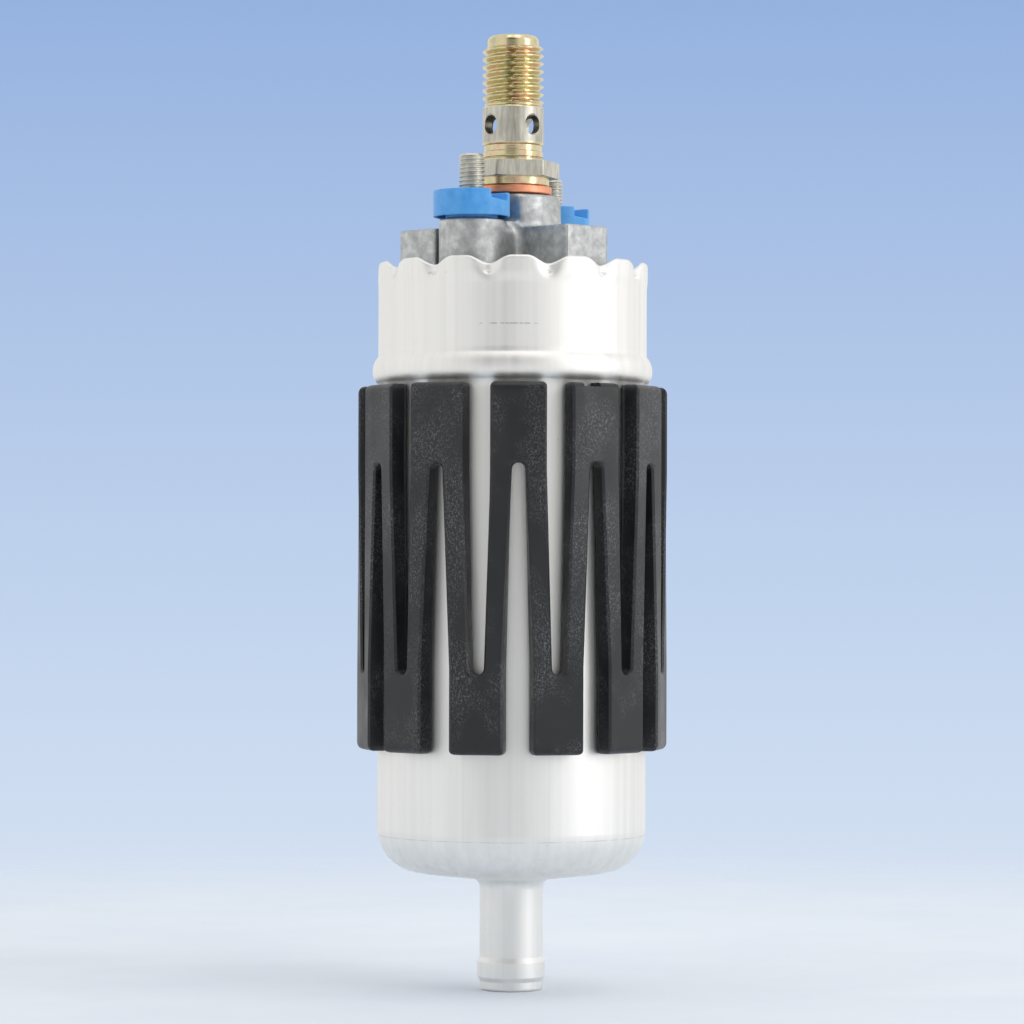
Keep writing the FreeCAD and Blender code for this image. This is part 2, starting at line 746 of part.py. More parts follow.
def check_valve_body():
    """Turned outlet body: tail, collar, hexagon, plain part with cross holes, thread and dog point."""
    tail = thread_radius
    stem = turned([
        (0, thread_top + dog_point), (dog_radius - dog_chamfer, thread_top + dog_point),
        (dog_radius, thread_top + dog_point - dog_chamfer), (dog_radius, thread_top),
        (thread_radius, thread_top), (thread_radius, thread_bottom),
        (thread_relief, thread_bottom), (thread_relief, plain_top), (thread_radius, plain_top),
        (thread_radius, plain_bottom), (groove_radius, plain_bottom), (groove_radius, groove_bottom),
        (ridge_radius, groove_bottom), (ridge_radius, ridge_bottom), (ridge_radius, hex_bottom),
        (collar_radius, hex_bottom), (collar_radius, valve_foot), (tail, valve_foot),
        (tail, tail_bottom), (valve_bore, tail_bottom), (valve_bore, valve_bore_top), (0, valve_bore_top),
    ])
    corner = hex_flats / 2 / math.cos(math.pi / 6)
    plan = [polar(corner, hex_turn + 60 * k) for k in range(6)]
    hexagon = prism(plan, hex_bottom, ridge_bottom)
    edge = hex_flats / 2 + (corner - hex_flats / 2) * hex_chamfer_place
    drop = (corner - edge) * math.tan(math.radians(hex_chamfer_slope))
    turned_hex = turned([
        (0, hex_bottom), (edge, hex_bottom), (corner, hex_bottom + drop), (corner, ridge_bottom - drop),
        (edge, ridge_bottom), (0, ridge_bottom),
    ])
    nut = hexagon.common(turned_hex).cut(rod(thread_relief, hex_bottom - over, ridge_bottom + over))
    body = stem.fuse(nut)
    middle = Vector(0, 0, plain_middle)
    hole = Part.makeCylinder(cross_radius, thread_radius + over, middle, Vector(1, 0, 0))
    return body.cut(around(hole, cross_count, cross_turn))


def valve_seat():
    """Seat ring pressed into the valve body's foot."""
    outer = valve_bore - fit_gap
    cone = poppet_rim + seat_gap
    return turned([
        (seat_bore, tail_bottom), (outer, tail_bottom), (outer, seat_top), (seat_bore + cone, seat_top),
        (seat_bore, seat_top - cone),
    ])


def valve_poppet():
    """Poppet with a conical face below and a guide stem above."""
    face = seat_bore + poppet_rim
    low = seat_top - poppet_rim + seat_gap
    return turned([
        (0, low - seat_gap), (seat_bore - seat_gap, low), (face, low + poppet_rim),
        (poppet_radius, low + poppet_rim * 2), (stem_radius, low + poppet_rim * 2),
        (stem_radius, low + stem_length), (0, low + stem_length),
    ])


def valve_spring():
    low = seat_top + poppet_rim + seat_gap + fit_gap
    radius = stem_radius + spring_wire / 2 + running_gap * 4
    return coil(radius, spring_wire, low, valve_bore_top - fit_gap, valve_spring_turns)


def inlet_plate():
    """Lower port plate: follows the can's floor, roofs the inlet chamber, carries the shaft's end."""
    rest = can_wall + can_gap
    corner_r, corner_z, end_r, end_z = corner_arc(rest)
    step_z = floor_height(strainer_flange + fit_gap, rest) + strainer_sheet + fit_gap
    roof = gear_floor - inlet_roof
    pocket = gear_floor - shaft_pocket - fit_gap
    hub = pocket - fit_gap - inlet_roof / 2
    body = turned([
        (0, gear_floor), (stack_radius, gear_floor), (stack_radius, corner_middle),
        (corner_r, corner_z, end_r, end_z),
        (strainer_flange + fit_gap, floor_height(strainer_flange + fit_gap, rest)),
        (strainer_flange + fit_gap, step_z), (chamber_radius, step_z), (chamber_radius, roof),
        (journal_radius + pocket_wall, roof), (journal_radius + pocket_wall, hub), (0, hub),
    ])
    cutters = [rod(journal_radius + running_gap, pocket, gear_floor + over)]
    cutters.append(port(90, gear_floor - inlet_roof - over, gear_floor + over))
    head_seat = gear_floor - screw_grip
    screw_hole = rod(screw_radius + fit_gap, head_seat - over, gear_floor + over, screw_circle)
    head_hole = rod(screw_head_radius + fit_gap, corner_middle - can_corner, head_seat, screw_circle)
    cutters += around(screw_hole, screw_count, screw_turn) + around(head_hole, screw_count, screw_turn)
    relief = rod(relief_bore, corner_middle - can_corner, gear_floor + over, relief_circle)
    drain = block(chamber_radius - over, relief_circle, -drain_radius, drain_radius,
                  corner_middle - can_corner, floor_height(chamber_radius, rest) + drain_height)
    cutters += [spun(relief, relief_turn), spun(drain, relief_turn)]
    return body.cut(cutters)


def port(degrees, bottom, top):
    """Curved slot through which the gear chambers fill or empty."""
    slot = sector(port_inner + port_width, port_inner, port_span, bottom, top)
    return spun(slot, degrees)


def gear_ring():
    """Ring round the gears, with an eccentric bore, screw holes and the relief ball's bore."""
    low, high = gear_floor + fit_gap / 2, gear_roof - fit_gap / 2
    body = rod(stack_radius, low, high)
    cutters = [rod(outer_gear_radius + running_gap, low - over, high + over, eccentricity)]
    screw_hole = rod(screw_radius + fit_gap, low - over, high + over, screw_circle)
    cutters += around(screw_hole, screw_count, screw_turn)
    cutters.append(spun(rod(relief_bore, low - over, high + over, relief_circle), relief_turn))
    return body.cut(cutters)


def outer_gear():
    """Outer gear: round lobes between hollows, turning about the offset axis."""
    low, high = gear_floor + running_gap, gear_roof - running_gap
    hollow = rod(lobe_circle + 2 * eccentricity - lobe_radius + gear_gap, low - over, high + over)
    lobe = rod(lobe_radius, low - 2 * over, high + 2 * over, lobe_circle)
    lobes = around(lobe, inner_teeth + 1)
    gear = rod(outer_gear_radius, low, high).cut(hollow.cut(lobes))
    gear.translate(Vector(eccentricity, 0, 0))
    return gear


def inner_gear():
    """Inner gear whose flanks are the curve that the outer gear's lobes roll along."""
    low, high = gear_floor + running_gap, gear_roof - running_gap
    points = []
    steps = inner_teeth * 12
    for k in range(steps):
        t = 2 * math.pi * k / steps
        turn = (inner_teeth + 1) * t
        path_x = lobe_circle * math.cos(t) + eccentricity * math.cos(turn)
        path_y = lobe_circle * math.sin(t) + eccentricity * math.sin(turn)
        way_x = -lobe_circle * math.sin(t) - eccentricity * (inner_teeth + 1) * math.sin(turn)
        way_y = lobe_circle * math.cos(t) + eccentricity * (inner_teeth + 1) * math.cos(turn)
        size = math.hypot(way_x, way_y)
        inset = lobe_radius + gear_gap
        points.append(Vector(path_x - inset * way_y / size, path_y + inset * way_x / size, low))
    flank = Part.BSplineCurve()
    flank.interpolate(Points=points, PeriodicFlag=True)
    gear = Part.Face(Part.Wire(flank.toShape())).extrude(Vector(0, 0, high - low))
    cutters = [rod(journal_radius + fit_gap, low - over, high + over)]
    cutters += dogs(fit_gap, high - dog_reach - fit_gap, high + over)
    return gear.cut(cutters)


def dogs(gap, bottom, top):
    """The two lugs that drive the inner gear, or their slots where a gap is given."""
    half_length = dog_length / 2 + gap
    half_width = dog_width / 2 + gap
    return [
        block(middle - half_length, middle + half_length, -half_width, half_width, bottom, top)
        for middle in (-dog_middle, dog_middle)
    ]


def flatted(radius, flat, bottom, top):
    return rod(radius, bottom, top).common(block(-flat, flat, -radius, radius, bottom, top))


def drive_coupling():
    """Moulded coupling on the shaft's flats with two lugs into the inner gear."""
    low, high = gear_roof + running_gap, coupling_top
    body = rod(coupling_radius, low, high)
    lugs = dogs(0, gear_roof - running_gap - dog_reach, low + skin)
    body = body.fuse([lug.common(rod(coupling_radius, gear_floor, high)) for lug in lugs])
    return body.cut(flatted(journal_radius + fit_gap, journal_flat + fit_gap, gear_floor, high + over))


def outlet_plate():
    """Upper port plate with the outlet port, the lower bush's seat and the relief valve's seat."""
    body = turned([
        (0, gear_roof), (stack_radius, gear_roof), (stack_radius, outlet_plate_top),
        (bush_boss_radius, outlet_plate_top), (bush_boss_radius, bush_boss_top), (0, bush_boss_top),
    ])
    cutters = [
        rod(bush_radius + fit_gap, coupling_top, bush_boss_top + over),
        rod(coupling_radius + fit_gap * 2, gear_roof - over, coupling_top + fit_gap),
        port(-90, gear_roof - over, outlet_plate_top + over),
    ]
    screw_hole = rod(screw_radius, gear_roof - over, gear_roof + screw_bite + over, screw_circle)
    cutters += around(screw_hole, screw_count, screw_turn)
    seat = Part.makeCone(relief_ball_radius + seat_gap, relief_port, relief_ball_radius,
                         Vector(relief_circle, 0, gear_roof))
    relief = rod(relief_port, gear_roof - over, outlet_plate_top + over, relief_circle)
    cutters += [spun(seat, relief_turn), spun(relief, relief_turn)]
    return body.cut(cutters)


def stack_screws():
    """Three screws from the inlet plate through the gear ring into the outlet plate, one solid each."""
    head_top = gear_floor - screw_grip - fit_gap
    screw = turned([
        (0, gear_roof + screw_bite), (screw_radius - fit_gap, gear_roof + screw_bite),
        (screw_radius - fit_gap, head_top), (screw_head_radius, head_top),
        (screw_head_radius, head_top - screw_head_height), (0, head_top - screw_head_height),
    ])
    slot = block(-screw_slot_width / 2, screw_slot_width / 2, -screw_head_radius, screw_head_radius,
                 head_top - screw_head_height - over, head_top - screw_head_height + screw_slot_depth)
    screw = screw.cut(slot)
    screw.translate(Vector(screw_circle, 0, 0))
    return Part.makeCompound(around(screw, screw_count, screw_turn))


def relief_ball_middle():
    """Height at which the ball lies just under its conical seat."""
    half_angle = math.atan2(relief_ball_radius + seat_gap - relief_port, relief_ball_radius)
    apex = gear_roof + relief_ball_radius * (relief_ball_radius + seat_gap) / (
        relief_ball_radius + seat_gap - relief_port)
    return apex - (relief_ball_radius + seat_gap) / math.sin(half_angle)


def relief_ball():
    ball = Part.makeSphere(relief_ball_radius, Vector(relief_circle, 0, relief_ball_middle()))
    return spun(ball, relief_turn)


def relief_spring():
    high = relief_ball_middle() - relief_ball_radius * ball_seat_share - fit_gap
    radius = relief_bore - spring_wire / 2 - running_gap * 4
    spring = coil(radius, relief_wire, high - relief_spring_length, high, small_spring_turns)
    spring.translate(Vector(relief_circle, 0, 0))
    return spun(spring, relief_turn)


def relief_plug():
    """Drilled plug that the relief spring stands on."""
    top = relief_ball_middle() - relief_ball_radius * ball_seat_share - relief_spring_length - fit_gap * 2
    plug = tube(relief_bore - fit_gap, drain_radius, top - relief_plug_height, top, relief_circle)
    return spun(plug, relief_turn)


def inlet_strainer():
    """Thimble with windows, clamped by its flange under the inlet plate."""
    rest = can_wall + can_gap / 2
    low = floor_height(strainer_flange, rest)
    top = low + strainer_height
    inner = strainer_radius - strainer_sheet
    body = turned([
        (0, top), (strainer_radius, top), (strainer_radius, low + strainer_sheet),
        (strainer_flange, low + strainer_sheet), (strainer_flange, low), (inner, low),
        (inner, top - strainer_sheet), (0, top - strainer_sheet),
    ])
    half = window_width / 2
    window = block(0, strainer_radius + over, -half, half, low + window_margin, top - window_margin)
    return body.cut(around(window, window_count))


def lower_bush():
    return tube(bush_radius, journal_radius + running_gap, coupling_top + fit_gap, bush_boss_top)


def upper_bush():
    return tube(bush_radius, journal_radius + running_gap, hub_bottom, bush_step - fit_gap)


def shaft():
    """Stepped armature shaft with two flats for the coupling."""
    low = gear_floor - shaft_pocket
    step = bush_boss_top + running_gap * 4
    washer_low = washer_top - washer_thickness
    body = turned([
        (0, low), (journal_radius, low), (journal_radius, step), (shaft_radius, step),
        (shaft_radius, washer_low - fit_gap), (journal_radius, washer_low - fit_gap),
        (journal_radius, bush_step - fit_gap), (0, bush_step - fit_gap),
    ])
    flats = rod(shaft_radius, gear_roof, coupling_top)
    return body.cut(flats.cut(flatted(journal_radius, journal_flat, gear_roof - over, coupling_top + over)))


def thrust_washer():
    return tube(washer_radius, journal_radius + fit_gap, washer_top - washer_thickness, washer_top)


def armature_core():
    """Laminated core with round-bottomed slots open to the rim."""
    core = tube(core_radius, shaft_radius + fit_gap, core_bottom, core_top)
    round_part = rod(core_slot_radius, core_bottom - over, core_top + over, slot_circle)
    mouth = block(slot_circle, core_radius + over, -core_slot_mouth / 2, core_slot_mouth / 2,
                  core_bottom - over, core_top + over)
    return core.cut(around(round_part.fuse(mouth), slot_count))


def winding():
    """Copper winding: bars in the core's slots and a rounded end turn at each end, one body."""
    bars = around(rod(core_slot_radius - fit_gap, core_bottom - fit_gap - skin, core_top + fit_gap + skin,
                      slot_circle), slot_count)
    rim = core_radius - winding_inset
    middle = (winding_bore + rim) / 2
    ends = []
    for near, way in ((core_top + fit_gap, 1), (core_bottom - fit_gap, -1)):
        far = near + way * (winding_height - air_gap)
        shoulder = near + way * winding_height * shoulder_share
        ends.append(turned([
            (winding_bore, near), (rim, near), (rim, shoulder),
            (rim * crown_share, far - way * air_gap, middle, far), (winding_bore, shoulder),
        ]))
    return ends[0].fuse(bars + ends[1:])


def commutator():
    """Copper segments on a moulded hub, with a riser at the winding's end."""
    body = turned([
        (shaft_radius + fit_gap, holder_bottom), (riser_radius, holder_bottom),
        (riser_radius, commutator_bottom), (commutator_radius, commutator_bottom),
        (commutator_radius, commutator_top), (shaft_radius + fit_gap, commutator_top),
    ])
    slot = block(commutator_radius - commutator_slot_depth, riser_radius + over, -commutator_slot / 2,
                 commutator_slot / 2, holder_bottom - over, commutator_top + over)
    return body.cut(around(slot, slot_count, 180.0 / slot_count))


def flux_ring():
    return tube(stack_radius, flux_bore, outlet_plate_top + fit_gap / 2, holder_bottom - fit_gap / 2)


def magnet(degrees):
    low, high = outlet_plate_top + magnet_inset, holder_bottom - fit_gap * 2
    return spun(sector(magnet_outer, magnet_inner, magnet_span, low, high), degrees)


def magnet_clip(degrees):
    """Folded spring clip that presses the two magnets apart and onto the flux ring."""
    low, high = outlet_plate_top + magnet_inset, holder_bottom - fit_gap * 2
    gap_angle = math.degrees(2 * fit_gap / magnet_inner)
    span = 360.0 / magnet_count - magnet_span - gap_angle
    whole = sector(magnet_outer, magnet_inner + air_gap, span, low, high)
    fold = math.degrees(2 * clip_sheet / magnet_inner)
    hollow = sector(magnet_outer - clip_sheet, magnet_inner - over, span - fold, low - over, high + over)
    return spun(whole.cut(hollow), degrees)


def brush(side):
    """Carbon brush whose inner end is hollowed to the commutator's round."""
    low, high = brush_middle - brush_height / 2, brush_middle + brush_height / 2
    outer = brush_start + brush_length
    carbon = block(0, outer, -brush_width / 2, brush_width / 2, low, high)
    carbon = carbon.cut(rod(brush_start, low - over, high + over))
    return spun(carbon, 0 if side > 0 else 180)


def brush_spring(side):
    """Coil behind a brush, pressing it on the commutator."""
    near = brush_start + brush_length + fit_gap
    radius = brush_width / 2 - spring_wire
    spring = coil(radius, spring_wire, near, near + brush_spring_length, small_spring_turns)
    spring.rotate(origin, Vector(0, 1, 0), 90)
    spring.translate(Vector(0, 0, brush_middle))
    return spun(spring, 0 if side > 0 else 180)


def brush_holder():
    """Moulded plate with an outer wall and two brush boxes."""
    rim = stack_radius - holder_wall
    body = turned([
        (holder_bore, holder_bottom), (stack_radius, holder_bottom), (stack_radius, holder_top),
        (rim, holder_top), (rim, plate_top), (holder_bore, plate_top),
    ])
    half_width = brush_width / 2 + running_gap
    half_height = brush_height / 2 + running_gap
    boxes, channels = [], []
    for side in (0, 180):
        half_box = half_width + box_wall
        box = block(riser_radius, stack_radius - holder_wall / 2, -half_box, half_box,
                    plate_top - skin, brush_middle + half_height + box_wall)
        channel = block(riser_radius - over, box_end, -half_width, half_width,
                        brush_middle - half_height, brush_middle + half_height)
        boxes.append(spun(box, side))
        channels.append(spun(channel, side))
    clear = rod(riser_radius + air_gap, holder_bottom - over, holder_top + over)
    return body.fuse(boxes).cut(channels + [clear])


def cover_seal():
    """Ring of round section in the can's bead, between the brush holder and the cover's skirt."""
    middle = can_bore + (bead_radius - can_radius) - seal_section - fit_gap
    return Part.makeTorus(middle, seal_section, Vector(0, 0, bead_middle))


def main():
    os.makedirs("parts", exist_ok=True)
    save("can", can())
    save("isolating_sleeve", isolating_sleeve())
    save("end_cover", end_cover())
    save("cover_seal", cover_seal())
    save("check_valve_body", check_valve_body())
    save("valve_poppet", valve_poppet())
    save("valve_spring", valve_spring())
    save("valve_seat", valve_seat())
    save("outlet_washer", tube(washer_outer, thread_radius + fit_gap * 2, boss_top, valve_foot))
    save("positive_stud", terminal_stud(1, positive_cap_height, positive_stud_rise))
    save("negative_stud", terminal_stud(-1, negative_cap_height, negative_stud_rise))
    positive = insulator(1, positive_cap_radius, positive_cap_height, positive_step, positive_tab)
    negative = insulator(-1, negative_cap_radius, negative_cap_height, negative_step, negative_tab)
    save("positive_insulator", positive)
    save("negative_insulator", negative)
    save("positive_seal", terminal_seal(1))
    save("negative_seal", terminal_seal(-1))
    save("inlet_strainer", inlet_strainer())
    save("inlet_plate", inlet_plate())
    save("gear_ring", gear_ring())
    save("inner_gear", inner_gear())
    save("outer_gear", outer_gear())
    save("outlet_plate", outlet_plate())
    save("stack_screws", stack_screws())
    save("relief_ball", relief_ball())
    save("relief_spring", relief_spring())
    save("relief_plug", relief_plug())
    save("lower_bush", lower_bush())
    save("upper_bush", upper_bush())
    save("flux_ring", flux_ring())
    save("shaft", shaft())
    save("armature_core", armature_core())
    save("winding", winding())
    save("commutator", commutator())
    save("drive_coupling", drive_coupling())
    save("thrust_washer", thrust_washer())
    save("brush_holder", brush_holder())
    for letter, side in (("a", 1), ("b", -1)):
        save("magnet_" + letter, magnet(90 * side))
        save("magnet_clip_" + letter, magnet_clip(90 - 90 * side))
        save("brush_" + letter, brush(side))
        save("brush_spring_" + letter, brush_spring(side))
        save("choke_" + letter, choke(side))
    save("positive_lead", lead(1))
    save("negative_lead", lead(-1))


main()
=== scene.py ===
import math

import bmesh
import bpy
import numpy as np
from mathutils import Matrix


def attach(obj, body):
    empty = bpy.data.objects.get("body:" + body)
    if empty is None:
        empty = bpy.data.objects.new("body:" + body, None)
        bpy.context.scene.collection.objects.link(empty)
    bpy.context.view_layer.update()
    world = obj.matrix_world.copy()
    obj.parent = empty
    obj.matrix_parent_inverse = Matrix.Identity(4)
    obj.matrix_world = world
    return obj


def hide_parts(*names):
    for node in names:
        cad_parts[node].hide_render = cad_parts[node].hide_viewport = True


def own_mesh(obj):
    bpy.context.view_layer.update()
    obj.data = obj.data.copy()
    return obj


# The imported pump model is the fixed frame. Sizes below are millimetres, on the pump's axis, and
# each mesh is scaled to metres when it is made.
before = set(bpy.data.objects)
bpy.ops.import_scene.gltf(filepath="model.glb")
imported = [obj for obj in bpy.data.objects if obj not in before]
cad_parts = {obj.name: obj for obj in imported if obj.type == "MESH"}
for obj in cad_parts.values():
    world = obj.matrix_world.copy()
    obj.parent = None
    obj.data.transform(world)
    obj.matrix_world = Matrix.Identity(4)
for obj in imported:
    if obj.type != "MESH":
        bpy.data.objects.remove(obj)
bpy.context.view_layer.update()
millimetre = 0.001


# Can: one deep-drawn cup of bare aluminium with a hose neck at its bottom, a rolled bead near its
# top and a rim that is crimped over the cover in fourteen lobes. Drawing leaves a soft satin skin
# with faint upright marks.
def smooth(t):
    """Rises gently from 0 to 1 as t does."""
    t = np.clip(t, 0.0, 1.0)
    return t * t * (3 - 2 * t)


def outline(corners, arc_step=14.0, support=0.12):
    """Points along (r, z, rounding) corners. Each rounding is an arc, held by a point on both sides."""
    points = []
    for index, (r, z, rounding) in enumerate(corners):
        here = np.array([r, z], float)
        if index in (0, len(corners) - 1) or rounding == 0:
            points.append(tuple(here))
            continue
        back = np.array(corners[index - 1][:2], float) - here
        ahead = np.array(corners[index + 1][:2], float) - here
        back /= np.linalg.norm(back)
        ahead /= np.linalg.norm(ahead)
        turn = math.pi - math.acos(np.clip(back @ ahead, -1, 1))
        run = rounding * math.tan(turn / 2)
        middle = here + (back + ahead) / np.linalg.norm(back + ahead) * rounding / math.cos(turn / 2)
        first = here + back * run - middle
        last = here + ahead * run - middle
        steps = max(2, math.ceil(math.degrees(turn) / arc_step))
        points.append(tuple(here + back * (run + support)))
        for k in range(steps + 1):
            share = k / steps
            way = first * math.sin((1 - share) * turn) + last * math.sin(share * turn)
            points.append(tuple(middle + way / max(math.sin(turn), 1e-9) if turn < 3.1 else middle + first))
        points.append(tuple(here + ahead * (run + support)))
    return points


def plain_mesh(name, points, faces, crease=35.0):
    """Object from points in millimetres, its doubles merged, faces outwards and creases kept."""
    mesh = bpy.data.meshes.new(name)
    mesh.from_pydata([tuple(p) for p in np.asarray(points, float) * millimetre], [], faces)
    edit = bmesh.new()
    edit.from_mesh(mesh)
    bmesh.ops.remove_doubles(edit, verts=edit.verts, dist=1e-6)
    bmesh.ops.delete(edit, geom=[e for e in edit.edges if not e.link_faces], context="EDGES")
    bmesh.ops.recalc_face_normals(edit, faces=edit.faces)
    edit.to_mesh(mesh)
    edit.free()
    mesh.shade_smooth()
    mesh.set_sharp_from_angle(angle=math.radians(crease))
    made = bpy.data.objects.new(name, mesh)
    bpy.context.scene.collection.objects.link(made)
    return made


def turned(name, rows, turns, crease=35.0):
    """Closed ring of rows round the axis. A row's radius and height are one number or one for each turn."""
    count, total = len(turns), len(rows)
    radii = np.array([np.broadcast_to(row[0], count) for row in rows], float)
    heights = np.array([np.broadcast_to(row[1], count) for row in rows], float)
    points = np.stack([radii * np.cos(turns), radii * np.sin(turns), heights], -1).reshape(-1, 3)
    faces = []
    for i in range(total):
        low, high = i * count, (i + 1) % total * count
        for j in range(count):
            k = (j + 1) % count
            faces.append((low + j, low + k, high + k, high + j))
    return plain_mesh(name, points, faces, crease)


def colour(text):
    """Linear RGBA from an sRGB hex value."""
    parts = [int(text[i:i + 2], 16) / 255 for i in (1, 3, 5)]
    return tuple(c / 12.92 if c <= 0.04045 else ((c + 0.055) / 1.055) ** 2.4 for c in parts) + (1.0,)


def add(tree, kind, inputs=None, stops=(), to=None, **settings):
    """Adds a node with its settings. Each input takes a value, a node or an output, each stop of a colour
    ramp is a place with a hex colour or a grey level, and the node's first output may feed a socket."""
    node = tree.nodes.new(kind)
    for name, value in settings.items():
        setattr(node, name, value)
    for socket, value in (inputs or {}).items():
        if isinstance(value, bpy.types.Node):
            value = next(output for output in value.outputs if output.enabled)
        if isinstance(value, bpy.types.NodeSocket):
            tree.links.new(value, node.inputs[socket])
        else:
            node.inputs[socket].default_value = value
    for index, (position, tone) in enumerate(stops):
        ramp = node.color_ramp.elements
        stop = ramp[index] if index < 2 else ramp.new(position)
        stop.position = position
        stop.color = colour(tone) if isinstance(tone, str) else (tone, tone, tone, 1.0)
    if to is not None:
        tree.links.new(next(output for output in node.outputs if output.enabled), to)
    return node


def new_material(name, **sockets):
    """Material with its tree, its shader and its Object coordinates. Constants go on the shader's sockets."""
    material = bpy.data.materials.new(name)
    material.use_nodes = True
    tree = material.node_tree
    shader = tree.nodes["Principled BSDF"]
    for socket, value in sockets.items():
        shader.inputs[socket.replace("_", " ")].default_value = value
    place = add(tree, "ShaderNodeTexCoord").outputs["Object"]
    return material, tree, shader, place


def grains(size, *stretch):
    """Scale at which a noise has grains about size millimetres wide, stretched along each axis."""
    return [1 / (size * millimetre * along) for along in stretch or (1, 1, 1)]


plain_noise = {"Scale": 1.0, "Detail": 3.0, "Roughness": 0.55}


def dress(piece, body, slot, material, *nodes):
    """Gives a finished piece its material and its place in the frame."""
    piece.data.materials.clear()
    piece.data.materials.append(material)
    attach(piece, body)
    if nodes:
        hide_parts(*nodes)
    return piece


can_radius = 26.0
can_wall = 1.2
can_bore = can_radius - can_wall
straight_top = 34.0
bead_middle, bead_rise = 38.0, 1.1
bead_low, bead_high = 35.5, 40.9
bead_half_below, bead_half_above = 2.5, 2.9
bead_hollow, bead_hollow_half = 0.9, 2.1
rim_foot, rim_top, rim_wall = 53.6, 58.9, 1.1
rim_flare, flare_height = 0.2, 2.5
lobe_count = 14
lobe_turn = 10.5  # degrees, first lobe's middle
lobe_dip = 1.55  # how much lower the edge is in a valley
lobe_columns = 32
press_depth, press_height = 0.9, 3.6  # how far, and over what height, a valley is pushed in
nick_depth, nick_half_width, nick_half_height, nick_below = 0.35, 0.9, 0.5, 1.7
flange_top = 55.95  # of the end cover, under the rim
bottom_inside, bottom_inside_corner, dome_foot_inside = -56.6, 8.8, -59.0
bottom_outside, bottom_corner = -57.797, 8.3
neck_root, neck_fillet = -60.241, 1.9
neck_bore, neck_radius, neck_end = 5.1, 6.1, -81.64
neck_bead_radius, neck_bead_low, neck_bead_high, neck_bead_slope = 6.55, -79.04, -76.04, 0.8

rim_turns = np.radians(lobe_turn + np.arange(lobe_count * lobe_columns) * 360 / (lobe_count * lobe_columns))
lobe_share = (np.degrees(rim_turns) - lobe_turn) * lobe_count / 360 % 1.0
lobe_share = 1 - np.abs(lobe_share - 0.5) * 2  # 0 in a lobe's middle, 1 in a valley
crest = rim_top - lobe_dip * smooth((lobe_share - 0.25) / 0.75)
lip_height = crest - rim_wall / 2
pressed = press_depth * smooth((lobe_share - 0.35) / 0.65) ** 1.6
from_valley = (1 - lobe_share) * math.pi * can_radius / lobe_count


def rim_radius(z):
    """Outer radius of the crimped rim: flared a little, pushed in at each valley, nicked under it."""
    flare = rim_flare * smooth((z - rim_foot) / flare_height)
    fold = smooth((z - crest + press_height) / press_height)
    nick = 1 - (from_valley / nick_half_width) ** 2 - ((z - crest + nick_below) / nick_half_height) ** 2
    return can_radius + flare - pressed * fold - nick_depth * smooth(nick)


can_rows = []
for share in np.linspace(0, 1, 27):
    height = rim_foot + (lip_height - rim_foot) * share
    can_rows.append((rim_radius(height), height))
lip_radius = rim_radius(lip_height)
for angle in np.radians(np.arange(30, 181, 30)):
    can_rows.append((lip_radius - rim_wall / 2 * (1 - np.cos(angle)),
                     lip_height + rim_wall / 2 * np.sin(angle)))
for share in (0.25, 0.5, 0.75, 1.0):
    height = lip_height + (flange_top + 0.25 - lip_height) * share
    can_rows.append((rim_radius(height) - rim_wall, height))
can_rows.append((rim_radius(flange_top + 0.1) - rim_wall, flange_top + 0.08))
can_rows += outline([
    (can_bore, flange_top + 0.05, 0), (can_bore, bead_middle + bead_hollow_half, 0),
    (can_bore + bead_hollow, bead_middle, 0.8), (can_bore, bead_middle - bead_hollow_half, 0),
    (can_bore, bottom_inside, bottom_inside_corner), (neck_bore, dome_foot_inside, 0.6),
    (neck_bore, neck_end, 0.25), (neck_radius, neck_end, 0.5),
    (neck_radius, neck_bead_low - neck_bead_slope, 0.3), (neck_bead_radius, neck_bead_low, 0.25),
    (neck_bead_radius, neck_bead_high, 0.25), (neck_radius, neck_bead_high + neck_bead_slope, 0.3),
    (neck_radius, neck_root, neck_fillet), (can_radius, bottom_outside, bottom_corner),
    (can_radius, straight_top, 0)])
for height in np.linspace(bead_low, bead_high, 17):
    half_width = bead_half_below if height < bead_middle else bead_half_above
    can_rows.append((can_radius + bead_rise * (1 - (abs(height - bead_middle) / half_width) ** 2.4), height))
can_rows += [(can_radius, height) for height in (42.0, 47.0, 52.0)]
can_piece = turned("pump_can", can_rows, rim_turns, 50.0)

# Bare drawn aluminium: pale, satin, with soft upright bands a few millimetres wide and a few specks.
# Its grain is drawn at 0.35 mm, coarser than the real one, so that it shows.
aluminium, tree, shader, place = new_material("drawn_aluminium", Metallic=1.0)
noise = {}
for name, size, stretch, detail, roughness in (
        ("bands", 1.6, (1, 1, 60), 2.0, 0.55), ("grain", 0.35, (1, 1, 14), 2.0, 0.55),
        ("specks", 1.1, (1, 1, 1), 4.0, 0.7), ("dashes", 1.3, (1, 1, 9), 3.0, 0.55),
        ("breaks", 2.6, (1, 1, 9), 3.0, 0.55)):
    spread = add(tree, "ShaderNodeVectorMath", {0: place, 1: grains(size, *stretch)}, operation="MULTIPLY")
    noise[name] = add(tree, "ShaderNodeTexNoise", {
        **plain_noise, "Vector": spread, "Detail": detail, "Roughness": roughness})
tone = add(tree, "ShaderNodeValToRGB", {0: noise["bands"]}, stops=[(0.3, "#e8e7e4"), (0.7, "#f1f0ed")])
speck = add(tree, "ShaderNodeValToRGB", {0: noise["specks"]}, stops=[(0.24, "#8d8b86"), (0.29, "#ffffff")])
bare = add(tree, "ShaderNodeMix", {0: 1.0, 6: tone, 7: speck}, data_type="RGBA", blend_type="MULTIPLY")
